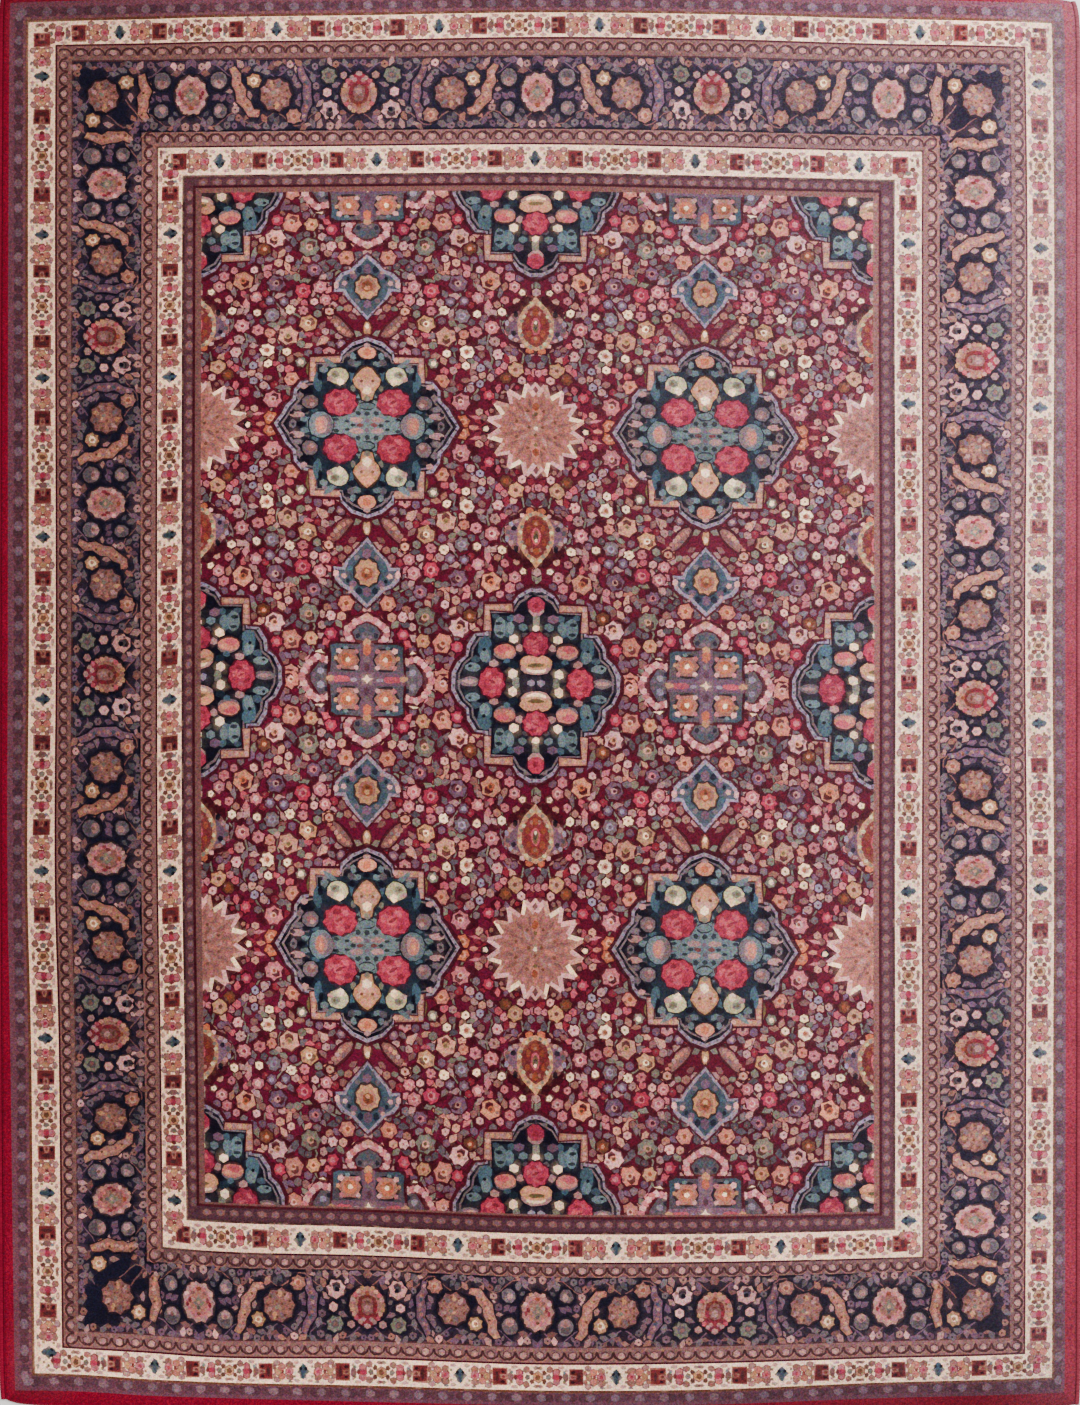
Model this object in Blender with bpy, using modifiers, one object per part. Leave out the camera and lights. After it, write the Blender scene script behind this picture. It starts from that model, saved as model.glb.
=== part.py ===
"""A room-size hand-knotted Persian carpet, lying flat.

The carpet is one flat slab of warp, weft and pile. An overcast wool cord, the selvedge, is bound on along
each of its two long sides. Its outline is that of a hand-woven piece: the long sides and the ends bow out
towards their middles, and each corner is drawn in and softened by an amount of its own.

Frame: metres, +Z up, the floor at Z = 0. X runs across the carpet and Y along it, and the origin lies on
the floor under the middle of the carpet's box.
"""

import math

import bmesh
import bpy

# Driving dimensions, in metres
CARPET_WIDTH = 3.05          # over both selvedges, where the carpet is widest
CARPET_LENGTH = 4.01         # over both ends, where the carpet is longest
CARPET_THICKNESS = 0.011     # foundation and pile together
PILE_EDGE_ROUND = 0.004      # how far the pile's upper edge is rounded over
SELVEDGE_WIDTH = 0.012
SELVEDGE_HEIGHT = 0.010
SELVEDGE_ROUND = 0.0045      # nearly half its width, so that the cord looks round
PIECE_GAP = 0.0003           # between the carpet and each selvedge

# How far each edge is drawn in at its two corners, from the line through its middle
LEFT_SIDE_INSETS = {"bottom": 0.0095, "top": 0.0070}
RIGHT_SIDE_INSETS = {"bottom": 0.0020, "top": 0.0020}
BOTTOM_END_INSETS = {"left": 0.0300, "right": 0.0240}
TOP_END_INSETS = {"left": 0.0240, "right": 0.0300}

# The softening of each corner, which fades quickly away from it: along Y for the ends, along X for the sides
BOTTOM_END_DROOPS = {"left": 0.014, "right": 0.005}
TOP_END_DROOPS = {"left": 0.005, "right": 0.006}
LEFT_SIDE_PULLS = {"bottom": 0.004, "top": 0.004}
RIGHT_SIDE_PULLS = {"bottom": 0.004, "top": 0.014}
CORNER_POWER = 60            # the higher, the shorter the stretch that is softened

SIDE_STEPS = 48              # straight steps along each long side
END_STEPS = 40               # and along each end
CROWDING = 0.5               # of the steps towards the corners, from 0, even, to 1
ROUND_SEGMENTS = 3

LEFT, RIGHT = -1, 1
BOTTOM, TOP = -1, 1

WOOL_PILE = ("wool_pile", (0.130, 0.022, 0.032, 1.0), 0.92)
SELVEDGE_WOOL = ("selvedge_wool", (0.235, 0.025, 0.042, 1.0), 0.85)


def clear_scene():
    for item in list(bpy.data.objects):
        bpy.data.objects.remove(item)


def new_collection(name):
    collection = bpy.data.collections.new(name)
    bpy.context.scene.collection.children.link(collection)
    return collection


def material(name, colour, roughness):
    made = bpy.data.materials.new(name)
    made.use_nodes = True
    shader = made.node_tree.nodes["Principled BSDF"]
    shader.inputs["Base Color"].default_value = colour
    shader.inputs["Roughness"].default_value = roughness
    shader.inputs["Metallic"].default_value = 0.0
    return made


def lerp(low, high, share):
    return low + (high - low) * share


def side_x(side, v):
    """X of a long side's outer edge. v runs from -1 at the bottom end to 1 at the top end."""
    insets = LEFT_SIDE_INSETS if side == LEFT else RIGHT_SIDE_INSETS
    pulls = LEFT_SIDE_PULLS if side == LEFT else RIGHT_SIDE_PULLS
    half = "top" if v > 0 else "bottom"
    return side * (CARPET_WIDTH / 2 - insets[half] * v * v - pulls[half] * abs(v) ** CORNER_POWER)


def end_y(end, u):
    """Y of an end's outer edge. u runs from -1 at the left side to 1 at the right side."""
    insets = BOTTOM_END_INSETS if end == BOTTOM else TOP_END_INSETS
    droops = BOTTOM_END_DROOPS if end == BOTTOM else TOP_END_DROOPS
    half = "right" if u > 0 else "left"
    return end * (CARPET_LENGTH / 2 - insets[half] * u * u - droops[half] * abs(u) ** CORNER_POWER)


def across(x_share, v, margin):
    """X at a share (0 to 1) of the width, between two lines that lie a margin inside the long sides."""
    return lerp(side_x(LEFT, v) + margin, side_x(RIGHT, v) - margin, x_share)


def along(u, v):
    """Y at the fractions u and v of the half width and half length."""
    return lerp(end_y(BOTTOM, u), end_y(TOP, u), (v + 1) / 2)


def fractions(steps):
    """Fractions from -1 up to, and without, 1, closer together towards the corners."""
    even = [2 * i / steps - 1 for i in range(steps)]
    return [lerp(share, math.sin(math.pi / 2 * share), CROWDING) for share in even]


def carpet_outline():
    """The carpet's edge inside its selvedges, as points going anticlockwise from the bottom left corner."""
    margin = SELVEDGE_WIDTH + PIECE_GAP
    ends, sides = fractions(END_STEPS), fractions(SIDE_STEPS)
    bottom = [(u, BOTTOM) for u in ends]
    right = [(RIGHT, v) for v in sides]
    top = [(-u, TOP) for u in ends]
    left = [(LEFT, -v) for v in sides]
    return [
        (across((u + 1) / 2, v, margin), along(u, v))
        for u, v in bottom + right + top + left
    ]


def selvedge_outline(side):
    """The strip between a long side's outer edge and the carpet, as points going anticlockwise."""
    steps = fractions(SIDE_STEPS) + [1.0]
    outer = [(side_x(side, v), along(side, v)) for v in steps]
    inner = [(x - side * SELVEDGE_WIDTH, y) for x, y in outer]
    return outer + inner[::-1] if side == RIGHT else inner + outer[::-1]


def slab(name, outline, height, edge_round, finish, collection):
    """A flat piece of that outline standing on the floor, with its upper edge rounded over."""
    curve = bpy.data.curves.new(name, "CURVE")
    curve.dimensions = "2D"
    curve.fill_mode = "BOTH"
    curve.extrude = height / 2
    spline = curve.splines.new("POLY")
    spline.points.add(len(outline) - 1)
    for point, (x, y) in zip(spline.points, outline):
        point.co = (x, y, 0.0, 1.0)
    spline.use_cyclic_u = True
    drawn = bpy.data.objects.new(name + "_outline", curve)
    collection.objects.link(drawn)
    drawn.location.z = height / 2
    bpy.context.view_layer.update()

    evaluated = drawn.evaluated_get(bpy.context.evaluated_depsgraph_get())
    mesh = bpy.data.meshes.new_from_object(evaluated)
    piece = bpy.data.objects.new(name, mesh)
    piece.matrix_world = drawn.matrix_world
    collection.objects.link(piece)
    bpy.data.objects.remove(drawn)

    weld_and_mark_upper_edge(mesh, height / 2)
    bevel = piece.modifiers.new("rounded upper edge", "BEVEL")
    bevel.limit_method = "WEIGHT"
    bevel.width = edge_round
    bevel.segments = ROUND_SEGMENTS
    mesh.materials.clear()
    mesh.materials.append(finish)
    return piece


def weld_and_mark_upper_edge(mesh, upper_z):
    """Closes the mesh of a filled curve with one face above and one below, and gives a bevel weight to the
    edges between its top and its wall."""
    weld_distance, level, steep = 0.00005, 0.00002, 0.5
    model = bmesh.new()
    model.from_mesh(mesh)
    bmesh.ops.remove_doubles(model, verts=model.verts, dist=weld_distance)
    bmesh.ops.recalc_face_normals(model, faces=model.faces)
    for up in (1, -1):
        flat = [face for face in model.faces if face.normal.z * up > steep]
        bmesh.ops.dissolve_faces(model, faces=flat)
    weight = model.edges.layers.float.new("bevel_weight_edge")
    for edge in model.edges:
        upper = all(abs(vertex.co.z - upper_z) < level for vertex in edge.verts)
        walls = [face for face in edge.link_faces if abs(face.normal.z) < steep]
        edge[weight] = 1.0 if upper and len(walls) == 1 else 0.0
    model.to_mesh(mesh)
    model.free()


def main():
    clear_scene()
    collection = new_collection("persian_rug")
    pile, overcast = material(*WOOL_PILE), material(*SELVEDGE_WOOL)
    slab("carpet", carpet_outline(), CARPET_THICKNESS, PILE_EDGE_ROUND, pile, collection)
    for side, name in ((LEFT, "selvedge_left"), (RIGHT, "selvedge_right")):
        slab(name, selvedge_outline(side), SELVEDGE_HEIGHT, SELVEDGE_ROUND, overcast, collection)


main()
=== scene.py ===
"""Looks for the room-size hand-knotted Persian carpet.

The woven pattern is drawn as flat patches of dyed wool, one over another, the way a weaver's chart is laid
out: first the flowered field, then the border bands round it. All patches go through one triangulation, so
the pile is one unbroken surface, and each of its facets has the dye of the patch that is on top there. A
chart position is then carried to its place on the floor by the same outline that the solids have, with the
drift of a hand-woven piece.
"""

import math
import random

import bmesh
import bpy
import numpy as np
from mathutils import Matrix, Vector
from mathutils.geometry import delaunay_2d_cdt


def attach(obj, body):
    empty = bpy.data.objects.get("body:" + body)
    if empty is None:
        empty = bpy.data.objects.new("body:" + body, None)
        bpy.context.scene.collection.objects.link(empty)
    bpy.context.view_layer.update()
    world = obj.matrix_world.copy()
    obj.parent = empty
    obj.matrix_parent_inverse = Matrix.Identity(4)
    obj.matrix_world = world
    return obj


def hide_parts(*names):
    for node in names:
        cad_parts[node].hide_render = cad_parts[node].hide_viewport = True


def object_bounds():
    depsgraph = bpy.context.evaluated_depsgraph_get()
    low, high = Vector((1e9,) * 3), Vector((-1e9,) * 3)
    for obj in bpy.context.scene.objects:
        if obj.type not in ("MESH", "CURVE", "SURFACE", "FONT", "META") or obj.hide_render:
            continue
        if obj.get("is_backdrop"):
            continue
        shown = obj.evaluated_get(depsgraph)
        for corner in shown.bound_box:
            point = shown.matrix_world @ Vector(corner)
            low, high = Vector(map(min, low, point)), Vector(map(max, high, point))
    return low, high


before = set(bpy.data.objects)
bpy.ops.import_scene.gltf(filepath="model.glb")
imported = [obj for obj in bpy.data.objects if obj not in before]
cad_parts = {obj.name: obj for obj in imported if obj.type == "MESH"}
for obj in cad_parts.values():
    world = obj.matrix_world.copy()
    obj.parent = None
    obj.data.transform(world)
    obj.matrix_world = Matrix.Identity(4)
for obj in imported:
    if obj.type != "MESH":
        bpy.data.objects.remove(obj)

CAD_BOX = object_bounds()

# ---------------------------------------------------------------- sizes, in metres, as in the solids
CARPET_WIDTH = 3.05
CARPET_LENGTH = 4.01
SELVEDGE_WIDTH = 0.012
SELVEDGE_HEIGHT = 0.010
PIECE_GAP = 0.0003
LEFT_SIDE_INSETS = {"bottom": 0.0095, "top": 0.0070}
RIGHT_SIDE_INSETS = {"bottom": 0.0020, "top": 0.0020}
BOTTOM_END_INSETS = {"left": 0.0300, "right": 0.0240}
TOP_END_INSETS = {"left": 0.0240, "right": 0.0300}
BOTTOM_END_DROOPS = {"left": 0.014, "right": 0.005}
TOP_END_DROOPS = {"left": 0.005, "right": 0.006}
LEFT_SIDE_PULLS = {"bottom": 0.004, "top": 0.004}
RIGHT_SIDE_PULLS = {"bottom": 0.004, "top": 0.014}
CORNER_POWER = 60
LEFT, RIGHT, BOTTOM, TOP = -1, 1, -1, 1

# ---------------------------------------------------------------- the chart
# Chart units: x to the right and y down, counted from the photo's top left corner, 2.81 mm each.
UNIT = 0.00281
VIEW_SIZE = (1080, 1405)
CHART_LEFT, CHART_RIGHT = 0.9, 1076.6        # the pile's edges, inside the selvedges
CHART_TOP, CHART_BOTTOM = -12.5, 1416.0      # the ends
FIELD_MIDDLE_X, FIELD_MIDDLE_Y = 537.0, 702.0

# Outer edges of the bands at the middle of each side: x at the left and right, y at the top and bottom
BANDS = (
    # name            left    right    top    bottom
    ("edge",          0.9, 1076.6, -12.5, 1416.0),
    ("dusk guard",    7.5, 1065.0,  -7.0, 1406.0),
    ("ivory outer",  26.5, 1052.0,  11.8, 1390.9),
    ("wave outer",   54.0, 1024.5,  36.7, 1364.4),
    ("main",         72.0, 1008.0,  56.0, 1346.0),
    ("wave inner",  139.5,  941.0, 127.0, 1278.0),
    ("ivory inner", 157.5,  922.0, 144.0, 1261.7),
    ("thin guard",  181.5,  895.5, 171.7, 1233.7),
    ("pink line",   195.0,  879.5, 185.0, 1216.0),
    ("field",       201.0,  874.0, 190.0, 1214.0),
)
BAND_EDGES = {name: (left, right, top, bottom) for name, left, right, top, bottom in BANDS}
BAND_ORDER = [row[0] for row in BANDS]

# How far the weave lies below its even place, in chart units: a row for each y, a value for each x
DRIFT_X = (1, 75, 150, 199, 367, 536, 706, 876, 1010, 1077)
DRIFT_ROWS = (
    # y       values at DRIFT_X
    (18,   (11.0, 8.5, 6.8, 5.4, 3.0, 0.0, 1.8, 6.6, 9.5, 12.0)),
    (60,   (6.0, 5.0, 4.5, 3.6, 2.0, 0.0, 1.5, 6.0, 8.5, 11.0)),
    (158,  (5.0, 4.0, 3.6, 3.0, 1.3, 0.0, 3.1, 6.9, 9.0, 11.0)),
    (429,  (0.0, 0.0, 0.0, -4.0, -4.0, 0.0, 7.0, 9.0, 9.0, 9.0)),
    (683,  (0.0, 0.0, 0.0, -6.0, -4.0, 0.0, 3.0, 7.0, 6.0, 6.0)),
    (950,  (0.0, 0.0, 0.0, -5.0, -4.0, 0.0, 0.0, 4.0, 1.0, 0.0)),
    (1225, (-17.0, -16.5, -15.7, -12.0, -6.0, 0.8, 1.0, -2.4, -7.0, -9.0)),
    (1378, (-19.0, -15.0, -10.5, -7.5, -4.8, 0.4, -0.7, -6.2, -9.8, -13.0)),
    (1406, (-15.0, -14.0, -9.5, -8.0, -3.5, 0.0, -0.6, -7.0, -10.6, -13.0)),
)

# How far the weave lies to the right of its even place, most towards the bottom of the left side
SIDE_DRIFT_FROM_RIM = 6      # and over how many units it starts at the left rim
SIDE_DRIFT_X = (1, 30, 75, 200, 367, 960, 1050, 1077)
SIDE_DRIFT_ROWS = (
    # y       values at SIDE_DRIFT_X
    (-12,  (0.0, 0.0, 0.0, 0.0, 0.0, 0.0, 0.0, 0.0)),
    (230,  (0.0, 1.0, 0.5, 0.0, 0.0, 0.0, 2.0, 0.0)),
    (650,  (0.0, 3.2, 1.2, 0.0, 0.0, 0.0, 0.0, 0.0)),
    (900,  (0.0, 1.6, 1.4, 0.8, 0.0, 0.0, 1.6, 0.0)),
    (1020, (1.5, 4.2, 4.0, 2.0, 0.0, 0.0, 1.0, 0.0)),
    (1240, (3.0, 5.2, 5.4, 3.4, 1.0, 0.0, 0.6, 0.0)),
    (1416, (4.0, 6.2, 6.4, 5.0, 1.0, 0.0, 0.0, 0.0)),
)

# The field is a lattice of mirrored quarters. The weaver packed its first rows closer than the rest.
LATTICE_X = (198, 367, 536, 706, 876)
LATTICE_Y = (165, 425, 685, 945, 1205)
LATTICE_Y_WOVEN = (186, 429, 683, 950, 1214)
QUARTER_WIDTH, QUARTER_HEIGHT = 169, 260
DIAMOND_Y, OVAL_Y = 151, 111     # how far a diamond lies from its medallion, and a drop from its star

# ---------------------------------------------------------------- dyes, linear reflectance
DYES = {
    "madder": (0.072, 0.0036, 0.0135),
    "maroon": (0.033, 0.0030, 0.0068),
    "navy": (0.0064, 0.0050, 0.0125),
    "ink": (0.0038, 0.0026, 0.0064),
    "deep teal": (0.0075, 0.0110, 0.0180),
    "teal": (0.034, 0.055, 0.070),
    "grey teal": (0.080, 0.098, 0.104),
    "lilac": (0.190, 0.135, 0.175),
    "mauve": (0.090, 0.042, 0.064),
    "grey mauve": (0.098, 0.064, 0.070),
    "salmon": (0.330, 0.100, 0.074),
    "pale salmon": (0.360, 0.150, 0.108),
    "dull salmon": (0.205, 0.078, 0.060),
    "rose": (0.220, 0.017, 0.036),
    "deep rose": (0.130, 0.011, 0.020),
    "light rose": (0.300, 0.046, 0.062),
    "pink": (0.320, 0.086, 0.096),
    "pale pink": (0.480, 0.210, 0.195),
    "peach": (0.410, 0.148, 0.092),
    "cream": (0.780, 0.480, 0.300),
    "green cream": (0.360, 0.290, 0.160),
    "tan": (0.320, 0.140, 0.072),
    "rust": (0.150, 0.033, 0.015),
    "brown": (0.075, 0.024, 0.014),
    "olive": (0.080, 0.050, 0.022),
    "grey green": (0.112, 0.094, 0.072),
    "orange": (0.310, 0.070, 0.034),
    "ivory": (0.760, 0.460, 0.310),
    "brick": (0.092, 0.012, 0.014),
    "slate": (0.028, 0.038, 0.050),
    "rose brown": (0.130, 0.050, 0.046),
    "wave ground": (0.124, 0.054, 0.052),
    "wave line": (0.036, 0.011, 0.013),
    "dusty pink": (0.265, 0.120, 0.112),
    "smoke": (0.052, 0.038, 0.044),
    "dusk": (0.095, 0.030, 0.043),
    "pale dusk": (0.115, 0.060, 0.074),
    "plum": (0.050, 0.017, 0.024),
    "star ground": (0.230, 0.076, 0.060),
    "crimson": (0.140, 0.0030, 0.0140),
}
STRAY, STRAY_SEED = 0.62, 5  # how far the corners of a patch are off, in chart units
THIN_STRAY = 0.2             # and at most, as a share of the width of a thin patch
DYE_SPREAD, DYE_SEED = 0.20, 3    # how far one patch's lightness strays from its dye
WARM_SPREAD = 0.3            # and its warmth, as a share of that
SHEEN_VEIL_COLOUR = (0.61, 0.44, 0.49)   # the pale, cool veil of the painted sheen, where it is full
SHEEN_COOLING = (1.0, 1.09, 1.17)   # how the painted sheen cools the dyes under it
SHEEN_FULL_COOLING = 0.03        # the strength of painted sheen at which they are fully so cooled

# Painted sheen: how far the wool is veiled in a pale glare, from 0 to 1, most at the right and the top: a row
# for each y, a value for each x
LIGHT_TABLE_X = (0, 70, 150, 210, 540, 880, 1005, 1040, 1080)
PAINTED_SHEEN_ROWS = (
    # y      values at LIGHT_TABLE_X
    (0,    (0.000, 0.000, 0.000, 0.003, 0.010, 0.031, 0.038, 0.090, 0.130)),
    (350,  (0.000, 0.000, 0.000, 0.000, 0.008, 0.030, 0.036, 0.080, 0.112)),
    (700,  (0.000, 0.000, 0.000, 0.000, 0.000, 0.019, 0.021, 0.046, 0.068)),
    (1050, (0.000, 0.000, 0.000, 0.000, 0.000, 0.016, 0.020, 0.036, 0.052)),
    (1405, (0.000, 0.000, 0.000, 0.000, 0.000, 0.012, 0.017, 0.030, 0.042)),
)

# Painted light and shade: how light the wool is, at the same x, darker along the left side and lighter
# towards the right
PAINTED_LIGHT_ROWS = (
    # y      values at LIGHT_TABLE_X
    (0,    (0.74, 0.72, 0.80, 0.92, 1.00, 1.22, 1.34, 1.24, 1.08)),
    (350,  (0.80, 0.73, 0.78, 0.96, 1.02, 1.24, 1.38, 1.26, 1.06)),
    (700,  (0.80, 0.71, 0.75, 0.96, 1.01, 1.21, 1.22, 1.18, 1.06)),
    (1050, (0.86, 0.78, 0.77, 0.98, 1.00, 1.22, 1.24, 1.20, 1.10)),
    (1310, (1.06, 1.08, 1.04, 1.06, 1.08, 1.12, 1.22, 1.16, 1.06)),
    (1405, (1.14, 1.20, 1.22, 1.22, 1.14, 0.88, 0.80, 0.90, 1.00)),
)


# ---------------------------------------------------------------- smooth tables
def spans(knots, places):
    """For each place the number of the knot before it, the step to the next, and its share of that step."""
    at = np.clip(places, knots[0], knots[-1])
    i = np.clip(np.searchsorted(knots, at) - 1, 0, len(knots) - 2)
    step = knots[i + 1] - knots[i]
    return i, step, (at - knots[i]) / step


def eased(t, low, high, rise, fall):
    """At the share t of its length, a smooth curve from low to high that has those slopes at its ends."""
    return (
        (1 + 2 * t) * (1 - t) ** 2 * low + t * (1 - t) ** 2 * rise
        + t * t * (3 - 2 * t) * high + t * t * (t - 1) * fall
    )


def smooth_curve(knots, values, places):
    """Values at places, on a smooth curve through the knots."""
    knots, values = np.asarray(knots, float), np.asarray(values, float)
    slopes = np.gradient(values, knots)
    i, step, t = spans(knots, places)
    return eased(t, values[i], values[i + 1], slopes[i] * step, slopes[i + 1] * step)


def smooth_rows(row_places, rows, x, y):
    """Values at the points x, y between rows that each hold their own values at x."""
    knots, rows = np.asarray(row_places, float), np.asarray(rows)
    slopes = np.gradient(rows, knots, axis=0)
    i, step, t = spans(knots, y)
    point = np.arange(len(x))
    return eased(t, rows[i, point], rows[i + 1, point], slopes[i, point] * step, slopes[i + 1, point] * step)


def smooth_table(x_places, table, x, y):
    """Values at the points x, y of a table with a row for each y and in it a value for each x."""
    rows = [smooth_curve(x_places, values, x) for _, values in table]
    return smooth_rows([place for place, _ in table], rows, x, y)


# ---------------------------------------------------------------- from the chart to the floor
def side_x(side, v):
    """X of a long side's outer edge, as in the solids. v runs from -1 at the bottom end to 1 at the top."""
    insets = LEFT_SIDE_INSETS if side == LEFT else RIGHT_SIDE_INSETS
    pulls = LEFT_SIDE_PULLS if side == LEFT else RIGHT_SIDE_PULLS
    inset = np.where(v > 0, insets["top"], insets["bottom"]) * v * v
    pull = np.where(v > 0, pulls["top"], pulls["bottom"]) * np.abs(v) ** CORNER_POWER
    return side * (CARPET_WIDTH / 2 - inset - pull)


def end_inset(end, u):
    """How far an end is drawn in, as in the solids. u runs from -1 at the left side to 1 at the right."""
    insets = BOTTOM_END_INSETS if end == BOTTOM else TOP_END_INSETS
    droops = BOTTOM_END_DROOPS if end == BOTTOM else TOP_END_DROOPS
    inset = np.where(u > 0, insets["right"], insets["left"]) * u * u
    return inset + np.where(u > 0, droops["right"], droops["left"]) * np.abs(u) ** CORNER_POWER


def drift_aside(x, y):
    from_rim = np.clip((x - CHART_LEFT) / SIDE_DRIFT_FROM_RIM, 0, 1)
    return smooth_table(SIDE_DRIFT_X, SIDE_DRIFT_ROWS, x, y) * from_rim


def woven_place(x, y):
    """Where chart points lie on the floor, in metres."""
    x = x + drift_aside(x, y)
    share = (x - CHART_LEFT) / (CHART_RIGHT - CHART_LEFT)
    u = 2 * share - 1
    v = 1 - 2 * (y - CHART_TOP) / (CHART_BOTTOM - CHART_TOP)
    margin = SELVEDGE_WIDTH + PIECE_GAP
    low, high = side_x(LEFT, v) + margin, side_x(RIGHT, v) - margin

    rows = [end_inset(TOP, u) / UNIT]
    rows += [smooth_curve(DRIFT_X, values, x) for _, values in DRIFT_ROWS]
    rows += [-end_inset(BOTTOM, u) / UNIT]
    places = [CHART_TOP] + [place for place, _ in DRIFT_ROWS] + [CHART_BOTTOM]
    drift = smooth_rows(places, rows, x, y)
    return low + (high - low) * share, v * CARPET_LENGTH / 2 - drift * UNIT


# Painted sheen, from 0 to 1: a pale glare laid over the wool
def painted_sheen_at(x, y):
    return np.clip(smooth_table(LIGHT_TABLE_X, PAINTED_SHEEN_ROWS, x, y), 0, 1)


# Painted light and shade, as a factor on the wool's colour
def painted_light_at(x, y):
    return smooth_table(LIGHT_TABLE_X, PAINTED_LIGHT_ROWS, x, y)


# ---------------------------------------------------------------- patches of dye
DISC_SIDES = ((1.9, 4), (3.6, 5), (6.5, 6), (9.0, 8))    # up to which reach a disc has so few corners
MOST_DISC_SIDES = 12
SHORT_LEAF = 13              # leaves below this length are drawn with fewer corners
SAME_POINT = 0.01            # points closer together than this are one


def pairs_around(points):
    """Each point with the one after it, the last with the first."""
    return zip(points, points[1:] + points[:1])


def signed_area(points):
    """The area within a closed outline, above zero where it runs clockwise as seen on the chart."""
    return sum(a[0] * b[1] - b[0] * a[1] for a, b in pairs_around(points)) / 2


def polar(reach, angle):
    return reach * math.cos(angle), reach * math.sin(angle)


def strip_outline(points, half_width):
    """A strip along the points. half_width gives how wide it is at a point's number, on the side 1 or -1."""
    sides = [[], []]
    for i, (x, y) in enumerate(points):
        before, after = points[max(i - 1, 0)], points[min(i + 1, len(points) - 1)]
        dx, dy = after[0] - before[0], after[1] - before[1]
        size = math.hypot(dx, dy)
        for side, sign in zip(sides, (1, -1)):
            half = half_width(i, sign)
            side.append((x - sign * dy / size * half, y + sign * dx / size * half))
    return sides[0] + sides[1][::-1]


class Chart:
    """The pattern: patches of dye, each painted over those before it."""

    def __init__(self):
        self.outlines, self.dyes, self.zones = [], [], []
        self.inside = None       # a test that a patch's middle has to pass
        self.settle = None       # a change of place that the points go through first
        self.random = random.Random(STRAY_SEED)

    def strayed(self, points):
        """The corners, each knotted a little off its place, by less where the patch is thin."""
        rim = sum(math.dist(a, b) for a, b in pairs_around(points))
        reach = min(STRAY, THIN_STRAY * 2 * abs(signed_area(points)) / rim)
        stray = self.random.uniform
        return [(x + stray(-reach, reach), y + stray(-reach, reach)) for x, y in points]

    def patch(self, dye, points, zone=None):
        if self.settle:
            points = [self.settle(x, y) for x, y in points]
        if self.inside:
            x = sum(p[0] for p in points) / len(points)
            y = sum(p[1] for p in points) / len(points)
            if not self.inside(x, y):
                return
        self.outlines.append(points if signed_area(points) > 0 else points[::-1])
        self.dyes.append(dye)
        self.zones.append(zone)


class Pen:
    """Draws on the chart in a frame of its own: x to the right and y down unless it is turned."""

    def __init__(self, chart, matrix):
        self.chart, self.matrix = chart, matrix

    def at(self, x, y, turn=0.0, across=1.0, down=1.0):
        """A pen at (x, y), turned clockwise by degrees, and scaled, or mirrored by a negative scale."""
        c, s = math.cos(math.radians(turn)), math.sin(math.radians(turn))
        step = np.array([[c * across, -s * down, x], [s * across, c * down, y], [0, 0, 1]])
        return Pen(self.chart, self.matrix @ step)

    def mirrored(self):
        return [self.at(0, 0), self.at(0, 0, across=-1)]

    def ends(self):
        return [self, self.at(0, 0, down=-1)]

    def quarters(self):
        return [self.at(0, 0, across=a, down=d) for a in (1, -1) for d in (1, -1)]

    def patch(self, dye, points):
        m = self.matrix
        self.chart.patch(dye, self.chart.strayed([
            (m[0, 0] * x + m[0, 1] * y + m[0, 2], m[1, 0] * x + m[1, 1] * y + m[1, 2]) for x, y in points
        ]))

    def disc(self, dye, x, y, r, tall=None, sides=None):
        """A round patch, or an oval one where tall, its half height, is given."""
        tall = r if tall is None else tall
        reach = max(r, tall)
        sides = sides or next((count for limit, count in DISC_SIDES if reach < limit), MOST_DISC_SIDES)
        angles = [math.pi / sides + math.tau * i / sides for i in range(sides)]
        self.patch(dye, [(x + r * math.cos(angle), y + tall * math.sin(angle)) for angle in angles])

    def spots(self, rows):
        """Discs from rows of dye, x, y, half width and half height."""
        for dye, x, y, r, tall in rows:
            self.disc(dye, x, y, r, tall)

    def petals(self, dye, x, y, r, lobes, valley=0.82, tall=1.0, turn=0.0):
        """A round patch with a lobed edge."""
        points = []
        for i in range(2 * lobes):
            angle = math.radians(turn) + math.pi * i / lobes
            reach = r if i % 2 == 0 else r * valley
            points.append((x + reach * math.cos(angle), y + tall * reach * math.sin(angle)))
        self.patch(dye, points)

    def leaf(self, dye, x, y, long, wide, turn=0.0, bend=0.0):
        """A pointed leaf from (x, y), its tip bent sideways by bend."""
        c, s = math.cos(math.radians(turn)), math.sin(math.radians(turn))
        shares, half = (0.0, 0.2, 0.45, 0.74), (0.14, 0.40, 0.50, 0.36)
        if long < SHORT_LEAF:
            shares, half = (0.0, 0.45), (0.20, 0.50)
        upper = [(t * long, bend * t * t - wide * h) for t, h in zip(shares, half)]
        lower = [(t * long, bend * t * t + wide * h) for t, h in zip(shares, half)]
        outline = upper + [(long, bend)] + lower[::-1]
        self.patch(dye, [(x + a * c - b * s, y + a * s + b * c) for a, b in outline])

    def ribbon(self, dye, points, width):
        """A line of even width through the points."""
        self.patch(dye, strip_outline(points, lambda i, sign: width / 2))


def four_sided(quarter):
    """A closed outline from its points in the quarter right of and below the middle, axis to axis."""
    right_below = list(quarter)
    left_below = [(-x, y) for x, y in quarter[::-1]]
    left_above = [(-x, -y) for x, y in quarter]
    right_above = [(x, -y) for x, y in quarter[::-1]]
    points = []
    for point in right_below + left_below + left_above + right_above:
        if not points or math.dist(point, points[-1]) > SAME_POINT:
            points.append(point)
    if math.dist(points[0], points[-1]) < SAME_POINT:
        points.pop()
    return points


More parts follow.
